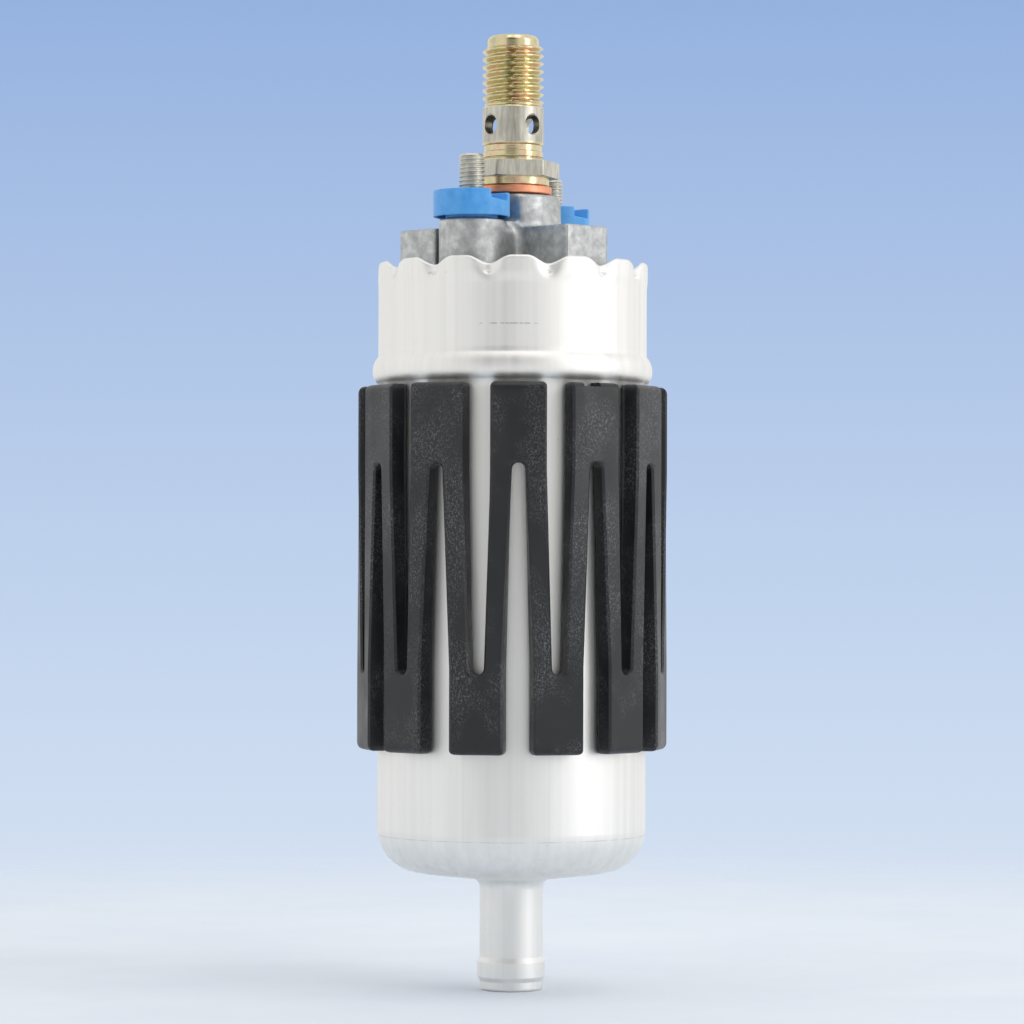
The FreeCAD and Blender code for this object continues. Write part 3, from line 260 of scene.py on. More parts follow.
# One fine scratch runs a short way round above the bead, broken into dashes.
scratch_height, scratch_half_width = 46.0 * millimetre, 0.06 * millimetre
scratch_middle, scratch_reach = math.radians(31.5), math.radians(13.5)
split = add(tree, "ShaderNodeSeparateXYZ", {0: place}).outputs
on_line = add(tree, "ShaderNodeMath", {0: split[2], 1: scratch_height, 2: scratch_half_width},
              operation="COMPARE")
bearing = add(tree, "ShaderNodeMath", {0: split[1], 1: split[0]}, operation="ARCTAN2")
on_arc = add(tree, "ShaderNodeMath", {0: bearing, 1: scratch_middle, 2: scratch_reach}, operation="COMPARE")
dashes = add(tree, "ShaderNodeValToRGB", {0: noise["dashes"]}, stops=[(0.42, "#000000"), (0.55, "#ffffff")])
scratch = add(tree, "ShaderNodeMath", {0: on_line, 1: on_arc}, operation="MULTIPLY")
scratch = add(tree, "ShaderNodeMath", {0: scratch, 1: dashes}, operation="MULTIPLY")
# A faint dark ring, broken up by a noise, is painted round the can just below where its bottom starts to
# bend.
ring_height, ring_half_width = -51.5 * millimetre, 0.07 * millimetre
bend_ring = add(tree, "ShaderNodeMath", {0: split[2], 1: ring_height, 2: ring_half_width}, operation="COMPARE")
breaks = add(tree, "ShaderNodeValToRGB", {0: noise["breaks"]}, stops=[(0.35, "#202020"), (0.65, "#9c9c9c")])
bend_ring = add(tree, "ShaderNodeMath", {0: bend_ring, 1: breaks}, operation="MULTIPLY")
marks = add(tree, "ShaderNodeMath", {0: scratch, 1: bend_ring}, operation="MAXIMUM")
marked = add(tree, "ShaderNodeMix", {0: marks, 6: bare.outputs[2], 7: colour("#77787a")}, data_type="RGBA")
tree.links.new(marked.outputs[2], shader.inputs["Base Color"])
add(tree, "ShaderNodeMapRange", {0: noise["bands"], 1: 0.3, 2: 0.7, 3: 0.46, 4: 0.54},
    to=shader.inputs["Roughness"])
add(tree, "ShaderNodeBump", {"Height": noise["grain"], "Distance": 0.02 * millimetre, "Strength": 0.35},
    to=shader.inputs["Normal"])
dress(can_piece, "pump", "can_aluminium", aluminium, "can")


# Inside the can, unseen in use: the strainer, the gear stage, the motor and the brush gear. They are
# turned, pressed, cast or moulded parts. Each keeps its CAD mesh under the finish of its kind, and
# only the springs are copies.
def part_finish(name, dark, light, metallic, roughness, grain_size, stretch, depth):
    """Finish of one kind of inner part: a tone that varies, and a grain in its gloss and its bump."""
    material, tree, shader, place = new_material(name, Metallic=metallic)
    noises = []
    for scale in (grains(grain_size * 6), grains(grain_size, *stretch)):
        spread = add(tree, "ShaderNodeVectorMath", {0: place, 1: scale}, operation="MULTIPLY")
        noises.append(add(tree, "ShaderNodeTexNoise", {**plain_noise, "Vector": spread}))
    cloud, grain = noises
    add(tree, "ShaderNodeValToRGB", {0: cloud}, stops=[(0.3, dark), (0.7, light)],
        to=shader.inputs["Base Color"])
    add(tree, "ShaderNodeMapRange", {0: grain, 1: 0.25, 2: 0.75, 3: roughness - 0.07, 4: roughness + 0.07},
        to=shader.inputs["Roughness"])
    add(tree, "ShaderNodeBump", {"Height": grain, "Distance": depth * millimetre, "Strength": 0.4},
        to=shader.inputs["Normal"])
    return material


# Each row: finish, nodes, two tones, metallic, roughness, then its grain's size, stretch and depth.
# The grains are drawn at 0.2 to 0.7 mm, coarser than most real ones, so that they show.
ring_marks = (14, 14, 1)
even = (1, 1, 1)
inner_finishes = [
    ("turned_brass", ("valve_seat", "valve_poppet"), "#b08d4a", "#c9a760", 1.0, 0.3, 0.3, ring_marks, 0.01),
    ("drawn_spring_steel",
     ("valve_spring", "relief_spring", "brush_spring_a", "brush_spring_b", "magnet_clip_a", "magnet_clip_b"),
     "#8a8d90", "#a5a8ab", 1.0, 0.28, 0.3, even, 0.01),
    ("moulded_rubber", ("cover_seal", "positive_seal", "negative_seal"),
     "#17181a", "#222427", 0.0, 0.6, 0.2, even, 0.02),
    ("moulded_strainer_nylon", ("inlet_strainer",), "#cfc9b4", "#ded8c4", 0.0, 0.45, 0.4, even, 0.01),
    ("machined_cast_aluminium", ("inlet_plate", "outlet_plate"),
     "#a3a5a6", "#bdbfc0", 1.0, 0.38, 0.4, ring_marks, 0.015),
    ("sintered_steel", ("gear_ring", "inner_gear", "outer_gear"),
     "#6f7275", "#83868a", 1.0, 0.42, 0.2, even, 0.02),
    ("blackened_screw_steel", ("stack_screws",), "#3a3b3d", "#4b4c4f", 1.0, 0.4, 0.3, even, 0.01),
    ("ground_bearing_steel", ("relief_ball", "relief_plug", "shaft", "thrust_washer"),
     "#9b9ea1", "#b3b6b9", 1.0, 0.22, 0.25, ring_marks, 0.006),
    ("sintered_bronze", ("lower_bush", "upper_bush"), "#94652f", "#ab7a3d", 1.0, 0.45, 0.2, even, 0.02),
    ("rolled_flux_steel", ("flux_ring",), "#8d8f8e", "#a2a4a2", 1.0, 0.45, 0.5, (1, 1, 10), 0.015),
    ("stacked_core_sheet", ("armature_core",), "#5e6164", "#7a7d80", 1.0, 0.45, 0.5, (30, 30, 1), 0.04),
    ("enamelled_copper_wire", ("winding", "choke_a", "choke_b"),
     "#8c3f1d", "#b05a2c", 1.0, 0.3, 0.7, (8, 8, 1), 0.06),
    ("turned_commutator_copper", ("commutator",), "#b3663f", "#cb7d53", 1.0, 0.3, 0.3, ring_marks, 0.01),
    ("moulded_holder_resin", ("brush_holder", "drive_coupling"),
     "#3a2a1e", "#4a3728", 0.0, 0.5, 0.5, even, 0.02),
    ("pressed_ferrite", ("magnet_a", "magnet_b"), "#2b2c2e", "#3a3b3e", 0.0, 0.55, 0.4, even, 0.03),
    ("pressed_carbon", ("brush_a", "brush_b"), "#2a2a2b", "#3b3b3d", 0.3, 0.6, 0.3, even, 0.03),
    ("tinned_copper_strip", ("positive_lead", "negative_lead"),
     "#a9abac", "#c4c6c7", 1.0, 0.3, 0.5, (10, 1, 1), 0.01),
]
for name, nodes, dark, light, metallic, roughness, grain_size, stretch, depth in inner_finishes:
    finish = part_finish(name, dark, light, metallic, roughness, grain_size, stretch, depth)
    for node in nodes:
        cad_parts[node].data.materials.clear()
        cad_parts[node].data.materials.append(finish)


def settle(piece, crease=35.0):
    """Turns a grown mesh's faces outwards and keeps its creases."""
    edit = bmesh.new()
    edit.from_mesh(piece.data)
    bmesh.ops.remove_doubles(edit, verts=edit.verts, dist=1e-6)
    bmesh.ops.delete(edit, geom=[v for v in edit.verts if not v.link_faces], context="VERTS")
    bmesh.ops.recalc_face_normals(edit, faces=edit.faces)
    edit.to_mesh(piece.data)
    edit.free()
    piece.data.shade_smooth()
    piece.data.set_sharp_from_angle(angle=math.radians(crease))
    return piece


# Each spring is copied from its CAD part, with a mesh of its own. Each row:
# node, joint, axis, fixed end, length and travel.
for node, joint, axis, fixed_end, length, travel in (
        ("valve_spring", "check_valve_lift", (0, 0, 1), (0, 0, 88.75), 21.5, 2.0),
        ("relief_spring", "relief_valve_lift", (0, 0, 1), (20.4, 0, -44.96), 5.4, 1.5),
        ("brush_spring_a", "brush_a_slide", (1, 0, 0), (21.65, 0, 31), 5.02, 2.5),
        ("brush_spring_b", "brush_b_slide", (1, 0, 0), (-21.65, 0, 31), 5.02, 2.5)):
    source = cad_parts[node]
    coil = bpy.data.objects.new(node + "_coil", source.data.copy())
    coil.data.transform(source.matrix_world)
    bpy.context.scene.collection.objects.link(coil)
    dress(settle(coil), "pump", "spring_steel", source.data.materials[0], node)
    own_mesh(coil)


# End cover: one aluminium die casting with the outlet boss, two terminal bosses, a web between them
# and two square arms. It drops into the can on its flange. Edges are softly rounded and the cast
# skin is mottled grey.
def cast_mesh(name, distance, low, high, step):
    """Closed mesh where a distance field in millimetres is zero: one point in each cell it crosses."""
    axes = [np.arange(a, b + step, step) for a, b in zip(low, high)]
    grid = np.stack(np.meshgrid(*axes, indexing="ij"), -1)
    field = distance(grid[..., 0], grid[..., 1], grid[..., 2])
    cells = tuple(n - 1 for n in field.shape)
    total, hits = np.zeros(cells + (3,)), np.zeros(cells)
    for axis in range(3):
        count = field.shape[axis]
        first = np.take(field, range(count - 1), axis)
        second = np.take(field, range(1, count), axis)
        crossed = (first < 0) != (second < 0)
        share = np.where(crossed, first / np.where(crossed, first - second, 1.0), 0.0)
        point = np.take(grid, range(count - 1), axis).copy()
        point[..., axis] += share * step
        others = [a for a in range(3) if a != axis]
        for shift_a in (0, 1):
            for shift_b in (0, 1):
                cut = [slice(None)] * 3
                cut[others[0]] = slice(shift_a, cells[others[0]] + shift_a)
                cut[others[1]] = slice(shift_b, cells[others[1]] + shift_b)
                seen = crossed[tuple(cut)]
                total += point[tuple(cut)] * seen[..., None]
                hits += seen
    index = np.cumsum((hits > 0).ravel()).reshape(cells) - 1
    points = total[hits > 0] / hits[hits > 0][:, None]
    faces = []
    for axis in range(3):
        others = [a for a in range(3) if a != axis]
        count = field.shape[axis]
        first = np.take(field, range(count - 1), axis) < 0
        second = np.take(field, range(1, count), axis) < 0
        inner = [slice(None)] * 3
        inner[others[0]] = slice(1, cells[others[0]])
        inner[others[1]] = slice(1, cells[others[1]])
        where = np.argwhere((first != second)[tuple(inner)])
        corners = []
        for shift_a, shift_b in ((0, 0), (1, 0), (1, 1), (0, 1)):
            at = where.copy()
            at[:, others[0]] += shift_a
            at[:, others[1]] += shift_b
            corners.append(index[at[:, 0], at[:, 1], at[:, 2]])
        faces += np.stack(corners, 1).tolist()
    return plain_mesh(name, points, faces, 60.0)


def soft_union(a, b, fillet):
    """Union of two distance fields with a fillet in their corner."""
    blend = np.maximum(0, 1 - np.abs(a - b) / fillet)
    return np.minimum(a, b) - blend * blend * fillet / 4


def soft_common(a, b, rounding):
    """What two distance fields share, its edge rounded."""
    return -soft_union(-a, -b, rounding)


def post(x, y, z, radius, bottom, top, rounding):
    """Upright cylinder with a rounded end."""
    return soft_common(np.hypot(x, y) - radius, np.maximum(bottom - z, z - top), rounding)


def bar(x, y, z, x_low, x_high, y_low, y_high, top, rounding):
    """Upright block with rounded edges, its foot far down."""
    sides = soft_common(np.maximum(x_low - x, x - x_high), np.maximum(y_low - y, y - y_high), rounding)
    return soft_common(sides, z - top, rounding)


flange_radius, flange_bottom = 24.7, 50.95
boss_radius, boss_taper = 9.7, 0.5
boss_shoulder, boss_top, boss_chamfer = 71.95, 72.3, 0.6
boss_seat_radius, boss_flat = 6.9, 6.85
terminal_offset = 14.25
terminal_boss_radius, terminal_boss_top = 6.25, 66.5
web_half, web_slant = 5.7, 1.8
block_top = 65.4
stem_half, stem_start, stem_end = 5.6, -1.0, 20.2
cross_left, cross_right, cross_far, cross_near = -15.1, 15.5, -15.6, -5.7
arm_turn = math.radians(-11.5)
cover_bores = ((0.0, 6.0), (terminal_offset, 3.9), (-terminal_offset, 3.4))  # each one's place and radius


def cover_field(x, y, z):
    """Distance field of the casting above its skirt."""
    from_axis = np.hypot(x, y)
    flange = soft_common(from_axis - flange_radius, np.maximum(flange_bottom - z, z - flange_top), 0.8)
    taper = boss_radius - boss_taper * (z - flange_top) / (boss_top - flange_top)
    chamfer = (from_axis - taper + z - boss_shoulder + boss_chamfer) / math.sqrt(2)
    boss = np.maximum(soft_common(from_axis - taper, chamfer, 0.2), z - boss_shoulder)
    boss = np.minimum(boss, np.maximum(from_axis - boss_seat_radius, z - boss_top))
    boss = soft_common(boss, np.minimum(np.abs(x) - boss_flat, z - terminal_boss_top), 0.2)
    turned_x = x * math.cos(arm_turn) + y * math.sin(arm_turn)
    turned_y = y * math.cos(arm_turn) - x * math.sin(arm_turn)
    stem = bar(turned_x, turned_y, z, -stem_half, stem_half, stem_start, stem_end, block_top, 0.3)
    cross = bar(turned_x, turned_y, z, cross_left, cross_right, cross_far, cross_near, block_top, 0.3)
    slant = (np.abs(y) + z - (web_half - web_slant + terminal_boss_top)) / math.sqrt(2)
    web = soft_common(np.abs(y) - web_half, z - terminal_boss_top, 0.6)
    web = soft_common(np.maximum(web, np.abs(x) - terminal_offset), slant, 0.5)
    shape = soft_union(soft_union(stem, cross, 0.3), web, 1.2)
    for x_middle in (terminal_offset, -terminal_offset):
        terminal_boss = post(x - x_middle, y, z, terminal_boss_radius, 50.0, terminal_boss_top + 0.1, 0.4)
        shape = soft_union(shape, terminal_boss, 0.6)
    shape = soft_union(shape, boss, 1.2)
    shape = soft_union(shape, flange, 1.0)
    shape = np.maximum(shape, flange_bottom - z)
    for x_middle, radius in cover_bores:
        shape = np.maximum(shape, radius - np.hypot(x - x_middle, y))
    return shape


cover_top = cast_mesh("cover_top", cover_field, (-25.2, -25.2, 50.6), (25.2, 25.2, 72.9), 0.36)
ring_turns = np.radians(np.arange(0, 360, 3.0))
buried_top = 51.2  # the skirt's and the hub's upper ends lie inside the cast top
skirt_bore, skirt_foot = 22.3, 39.7
hub_bore, hub_radius, hub_foot = 5.05, 6.6, 41.95
skirt = turned("cover_skirt", outline([
    (skirt_bore, buried_top, 0), (skirt_bore, skirt_foot, 0.2), (flange_radius, skirt_foot, 0.3),
    (flange_radius, buried_top, 0)]), ring_turns)
hub = turned("cover_hub", outline([
    (hub_bore, buried_top, 0), (hub_bore, hub_foot, 0.1), (hub_radius, hub_foot, 0.2),
    (hub_radius, buried_top, 0)]), ring_turns)


def joined(name, first, *others):
    """One object from several that touch or overlap."""
    edit = bmesh.new()
    for piece in (first, *others):
        edit.from_mesh(piece.data)
    mesh = bpy.data.meshes.new(name)
    edit.to_mesh(mesh)
    edit.free()
    made = bpy.data.objects.new(name, mesh)
    bpy.context.scene.collection.objects.link(made)
    for piece in (first, *others):
        bpy.data.objects.remove(piece)
    return made


cover = joined("end_cover_casting", cover_top, skirt, hub)

# Die-cast aluminium as cast: mottled greys in patches of 1 to 4 mm, a fine grain, a dull gloss. The
# grain is drawn at 0.35 mm, coarser than the real one, so that it shows.
casting, tree, shader, place = new_material("die_cast_aluminium", Metallic=1.0)
spread = add(tree, "ShaderNodeVectorMath", {0: place, 1: grains(2.4)}, operation="MULTIPLY")
patches = add(tree, "ShaderNodeTexNoise", {**plain_noise, "Vector": spread, "Detail": 5.0, "Roughness": 0.65})
spread = add(tree, "ShaderNodeVectorMath", {0: place, 1: grains(0.35)}, operation="MULTIPLY")
grain = add(tree, "ShaderNodeTexNoise", {**plain_noise, "Vector": spread})
add(tree, "ShaderNodeValToRGB", {0: patches}, stops=[(0.32, "#a3a5a5"), (0.5, "#b9bbbb"), (0.68, "#d0d1d0")],
    to=shader.inputs["Base Color"])
add(tree, "ShaderNodeMapRange", {0: patches, 1: 0.3, 2: 0.7, 3: 0.58, 4: 0.44}, to=shader.inputs["Roughness"])
add(tree, "ShaderNodeBump", {"Height": grain, "Distance": 0.03 * millimetre, "Strength": 0.5},
    to=shader.inputs["Normal"])
dress(cover, "pump", "cover_casting", casting, "end_cover")


# Terminals: an M5 and an M4 stud, cold-headed steel with rolled threads and pale zinc plating. Each
# stands in its boss, held by the head under the cover and a blue cap above it.
def screw_tree():
    """Node tree that winds a thread: a grid of height by turn, its radius from the thread's phase."""
    tree = bpy.data.node_groups.new("wound_thread", "GeometryNodeTree")
    tree.interface.new_socket("Geometry", in_out="OUTPUT", socket_type="NodeSocketGeometry")
    for name in ("Crest Radius", "Root Radius", "Pitch", "Bottom", "Top", "Chamfer", "Rise"):
        tree.interface.new_socket(name, in_out="INPUT", socket_type="NodeSocketFloat")
    for name in ("Turns", "Rows"):
        tree.interface.new_socket(name, in_out="INPUT", socket_type="NodeSocketInt")
    tree.interface.new_socket("Material", in_out="INPUT", socket_type="NodeSocketMaterial")
    given = add(tree, "NodeGroupInput").outputs
    grid = add(tree, "GeometryNodeMeshGrid", {
        "Size X": 1.0, "Size Y": 1.0, "Vertices X": given["Rows"], "Vertices Y": given["Turns"]})
    spot = add(tree, "ShaderNodeSeparateXYZ", {0: add(tree, "GeometryNodeInputPosition")}).outputs
    known = {output.name: output for output in given if output.name}
    known.update(x=spot[0], y=spot[1])
    crest_share, root_share = 0.16, 0.86  # of half a pitch: where the flank starts and where it ends
    # The first and the last row close the ends on the axis; the rest carry the thread.
    steps = [
        ("row share", "ADD", "x", 0.5),
        ("turn share", "ADD", "y", 0.5),
        ("turn", "MULTIPLY", "turn share", 2 * math.pi),
        ("last row", "SUBTRACT", "Rows", 1.0),
        ("row place", "MULTIPLY", "row share", "last row"),
        ("row", "ROUND", "row place"),
        ("wound rows", "SUBTRACT", "last row", 2.0),
        ("wound row", "SUBTRACT", "row", 1.0),
        ("wound", "DIVIDE", "wound row", "wound rows"),
        ("wound from", "MAXIMUM", "wound", 0.0),
        ("wound share", "MINIMUM", "wound from", 1.0),
        ("span", "SUBTRACT", "Top", "Bottom"),
        ("climb", "MULTIPLY", "wound share", "span"),
        ("height", "ADD", "Bottom", "climb"),
        ("above start", "SUBTRACT", "height", "Rise"),
        ("leads", "DIVIDE", "above start", "Pitch"),
        ("turned share", "DIVIDE", "turn", 2 * math.pi),
        ("lead", "SUBTRACT", "leads", "turned share"),
        ("phase", "FRACT", "lead"),
        ("from middle", "SUBTRACT", "phase", 0.5),
        ("half wave", "ABSOLUTE", "from middle"),
        ("wave", "MULTIPLY", "half wave", 2.0),
        ("depth", "SUBTRACT", "Crest Radius", "Root Radius"),
        ("past crest", "SUBTRACT", "wave", crest_share),
        ("slope", "DIVIDE", "past crest", root_share - crest_share),
        ("slope from", "MAXIMUM", "slope", 0.0),
        ("flank", "MINIMUM", "slope from", 1.0),
        ("sunk", "MULTIPLY", "flank", "depth"),
        ("wound radius", "SUBTRACT", "Crest Radius", "sunk"),
        ("to top", "SUBTRACT", "Top", "height"),
        ("to bottom", "SUBTRACT", "height", "Bottom"),
        ("to end", "MINIMUM", "to top", "to bottom"),
        ("end radius", "SUBTRACT", "Crest Radius", "Chamfer"),
        ("limit", "ADD", "end radius", "to end"),
        ("chamfered", "MINIMUM", "wound radius", "limit"),
        ("open row", "COMPARE", "wound", 0.5, 0.5001),
        ("radius", "MULTIPLY", "chamfered", "open row"),
        ("cosine", "COSINE", "turn"),
        ("sine", "SINE", "turn"),
        ("across", "MULTIPLY", "radius", "cosine"),
        ("along", "MULTIPLY", "radius", "sine"),
    ]
    for name, operation, *values in steps:
        inputs = {index: known.get(value, value) for index, value in enumerate(values)}
        known[name] = add(tree, "ShaderNodeMath", inputs, operation=operation)
    moved = add(tree, "ShaderNodeCombineXYZ", {0: known["across"], 1: known["along"], 2: known["height"]})
    placed = add(tree, "GeometryNodeSetPosition", {"Geometry": grid, "Position": moved})
    merged = add(tree, "GeometryNodeMergeByDistance", {"Geometry": placed, "Distance": 1e-6})
    real = add(tree, "GeometryNodeRealizeInstances", {0: merged})
    painted = add(tree, "GeometryNodeSetMaterial", {"Geometry": real, "Material": given["Material"]})
    add(tree, "NodeGroupOutput", {0: painted})
    return tree


def grown(name, tree, values, start=None):
    """Plain mesh object from a node tree and its named inputs, grown on a start mesh if there is one."""
    source = bpy.data.objects.new(name, start or bpy.data.meshes.new(name))
    bpy.context.scene.collection.objects.link(source)
    modifier = source.modifiers.new("shape", "NODES")
    modifier.node_group = tree
    for item in tree.interface.items_tree:
        if item.in_out == "INPUT" and item.name in values:
            modifier[item.identifier] = values[item.name]
    shown = source.evaluated_get(bpy.context.evaluated_depsgraph_get())
    mesh = bpy.data.meshes.new_from_object(shown)
    source.modifiers.clear()
    source.data = mesh
    return source


thread_tree = screw_tree()


def threaded(name, crest_radius, root_radius, pitch, bottom, top, chamfer, rise=0.0, x=0.0, turns=97):
    """Threaded length on an upright axis at x."""
    rows = round((top - bottom) / pitch * 16) + 3
    sizes = {"Crest Radius": crest_radius, "Root Radius": root_radius, "Pitch": pitch, "Bottom": bottom,
             "Top": top, "Chamfer": chamfer, "Rise": rise}
    sizes = {key: size * millimetre for key, size in sizes.items()}
    piece = grown(name, thread_tree, {**sizes, "Turns": turns, "Rows": rows})
    for point in piece.data.vertices:
        point.co.x += x * millimetre
    return settle(piece)


stud_top = {"positive": 79.1, "negative": 76.45}
cap_top = {"positive": 72.1, "negative": 70.85}
stud_radius = {"positive": 2.5, "negative": 2.0}
stud_pitch = {"positive": 0.8, "negative": 0.7}
stud_depth = 0.42  # of the pitch, as far as rolling pressed it in
stud_chamfer = 0.45
head_bottom, head_top, head_radius = 47.35, 49.35, 4.4
pin_end, pin_radius = 44.15, 1.5
shank_play = 0.3

# Zinc-plated steel, clear passivated: pale and slightly warm, bright on the thread's flanks. The
# plating's grain is drawn at 0.2 mm, coarser than the real one, so that it shows.
zinc, tree, shader, place = new_material("clear_zinc_plating", Metallic=1.0)
spread = add(tree, "ShaderNodeVectorMath", {0: place, 1: grains(1.2)}, operation="MULTIPLY")
cloud = add(tree, "ShaderNodeTexNoise", {**plain_noise, "Vector": spread})
spread = add(tree, "ShaderNodeVectorMath", {0: place, 1: grains(0.2)}, operation="MULTIPLY")
grain = add(tree, "ShaderNodeTexNoise", {**plain_noise, "Vector": spread})
add(tree, "ShaderNodeValToRGB", {0: cloud}, stops=[(0.3, "#bdb9ad"), (0.7, "#dcd9cf")],
    to=shader.inputs["Base Color"])
add(tree, "ShaderNodeMapRange", {0: cloud, 1: 0.3, 2: 0.7, 3: 0.34, 4: 0.46}, to=shader.inputs["Roughness"])
add(tree, "ShaderNodeBump", {"Height": grain, "Distance": 0.01 * millimetre, "Strength": 0.3},
    to=shader.inputs["Normal"])

for sign, side in ((1, "positive"), (-1, "negative")):
    x = sign * terminal_offset
    crest_radius = stud_radius[side]
    shank_radius = crest_radius - shank_play
    shank_top = cap_top[side] + 0.6
    thread = threaded(side + "_thread", crest_radius, crest_radius - stud_depth * stud_pitch[side],
                      stud_pitch[side], cap_top[side] + 0.1, stud_top[side], stud_chamfer, x=x, turns=65)
    shank = turned(side + "_shank", outline([
        (0, shank_top, 0), (shank_radius, shank_top, 0.1), (shank_radius, head_top, 0),
        (head_radius, head_top, 0.2), (head_radius, head_bottom, 0.2), (pin_radius, head_bottom, 0),
        (pin_radius, pin_end, 0.2), (0, pin_end, 0)]), ring_turns)
    for point in shank.data.vertices:
        point.co.x += x * millimetre
    stud = joined(side + "_terminal_stud", thread, shank)
    dress(stud, "pump", "stud_zinc", zinc, side + "_stud")


# Insulating caps: blue nylon, moulded, pressed over each stud on its boss. A step and a flared tab
# on one side key the cable lug. Moulded edges are slightly round.
cap_turn = math.radians(123.5)
# radius, step's place, then depths under the top: floor at its root and end, tab at its root and end
cap_shapes = {"positive": (7.3, 3.7, 1.7, 2.2, 0.75, 0.45), "negative": (7.25, 4.1, 1.85, 2.2, 0.4, 0.15)}
cap_foot = 67.05
cap_hollow_radius, cap_hollow_height = 6.85, 1.1
foot_radius, foot_height = 5.0, 1.4
tab_half = 2.2
cap_neck_wall, cap_neck_bottom = 1.35, 58.0
stud_play = 0.05


def cap_field(side):
    """Distance field of a cap about its stud's axis."""
    radius, cut, floor_root, floor_end, tab_root, tab_end = cap_shapes[side]
    top, stud_wall = cap_top[side], stud_radius[side]

    def field(x, y, z):
        from_stud = np.hypot(x, y)
        across = x * math.cos(cap_turn) + y * math.sin(cap_turn)
        along = y * math.cos(cap_turn) - x * math.sin(cap_turn)
        share = (across - cut) / (radius - cut)
        wall = np.maximum(from_stud - radius, cap_foot - z)
        tall = soft_common(soft_common(wall, z - top, 0.35), across - cut, 0.25)
        step_floor = top - floor_root - (floor_end - floor_root) * share
        low = soft_common(wall, z - step_floor, 0.25)
        crown = top - tab_root + (tab_root - tab_end) * share
        tab = np.maximum(np.maximum(np.abs(along) - tab_half, cut - 0.5 - across), z - crown)
        shape = np.minimum(soft_union(tall, low, 0.2), soft_common(tab, wall, 0.25))
        hollow = np.maximum(from_stud - cap_hollow_radius, z - cap_foot - cap_hollow_height)
        foot = np.maximum(terminal_boss_top + 0.1 - z, z - cap_foot - foot_height)
        foot = np.maximum(from_stud - foot_radius, foot)
        neck = np.maximum(cap_neck_bottom - z, z - top + 1)
        neck = np.maximum(from_stud - stud_wall - cap_neck_wall, neck)
        shape = np.minimum(np.minimum(np.maximum(shape, -hollow), foot), neck)
        return np.maximum(shape, stud_wall + stud_play - from_stud)

    return field


# Blue nylon: saturated mid blue, semi-gloss, faint flow clouding and a fine moulded grain, which is
# drawn at 0.3 mm, coarser than the real one, so that it shows.
cap_blue, tree, shader, place = new_material("moulded_blue_nylon", IOR=1.53, Subsurface_Weight=0.12)
shader.inputs["Subsurface Radius"].default_value = (0.4, 0.7, 1.0)
shader.inputs["Subsurface Scale"].default_value = 0.8 * millimetre
spread = add(tree, "ShaderNodeVectorMath", {0: place, 1: grains(2.0)}, operation="MULTIPLY")
cloud = add(tree, "ShaderNodeTexNoise", {**plain_noise, "Vector": spread, "Detail": 2.0})
spread = add(tree, "ShaderNodeVectorMath", {0: place, 1: grains(0.3)}, operation="MULTIPLY")
grain = add(tree, "ShaderNodeTexNoise", {**plain_noise, "Vector": spread})
add(tree, "ShaderNodeValToRGB", {0: cloud}, stops=[(0.3, "#3f97de"), (0.7, "#56a6e8")],
    to=shader.inputs["Base Color"])
add(tree, "ShaderNodeMapRange", {0: cloud, 1: 0.3, 2: 0.7, 3: 0.36, 4: 0.5}, to=shader.inputs["Roughness"])
add(tree, "ShaderNodeBump", {"Height": grain, "Distance": 0.01 * millimetre, "Strength": 0.3},
    to=shader.inputs["Normal"])

for sign, side in ((1, "positive"), (-1, "negative")):
    cap = cast_mesh(side + "_cap", cap_field(side), (-7.7, -7.7, 57.6), (7.7, 7.7, 72.6), 0.18)
    for point in cap.data.vertices:
        point.co.x += sign * terminal_offset * millimetre
    dress(cap, "pump", "cap_plastic", cap_blue, side + "_insulator")


# Outlet check valve: one turned steel body with a collar, a hexagon, a grooved neck, a plain seat for
# the banjo ring with four cross holes, an M12 thread and a dog point. Zinc plated, yellow chromated.
hex_flats, hex_corner, hex_turn = 16.0, 9.12, 13.6
hex_bottom, hex_top = 75.6, 78.6
bevel_start = 8.95  # the turned chamfers cut what lies beyond this radius
collar_radius, collar_foot = 7.05, 73.9
band_radius, band_top, waist_radius = 5.82, 80.55, 5.62
groove_radius, groove_foot, groove_top = 5.7, 79.3, 79.5
plain_radius, plain_bottom, plain_top = 5.95, 81.9, 89.4
thread_crest, thread_root, thread_pitch = 5.95, 5.03, 1.5
thread_bottom, thread_top, thread_core, undercut_radius = 90.0, 100.9, 4.6, 5.55
point_radius, point_flat = 5.02, 4.45
point_foot, point_shoulder, point_top = 100.6, 102.3, 103.15
valve_end, valve_bore, bore_top = 61.9, 4.3, 88.4
cross_middle, cross_turn, cross_radius = 85.7, -15.7, 1.85
drill_reach, mouth_radius, mouth_outer, mouth_inner = 7.0, 2.3, 6.1, 5.72

fine_turns = np.radians(np.arange(0, 360, 1.25))
from_flat = np.radians((np.degrees(fine_turns) - hex_turn) % 60 - 30)
hex_plan = np.minimum(hex_flats / 2 / np.cos(from_flat), hex_corner)  # the bar's corners are slightly rounded


def hex_row(height, rise):
    """Row of the hexagon, rise above or below the face from which its chamfer starts."""
    return np.minimum(hex_plan, bevel_start + rise / math.tan(math.radians(30))), height


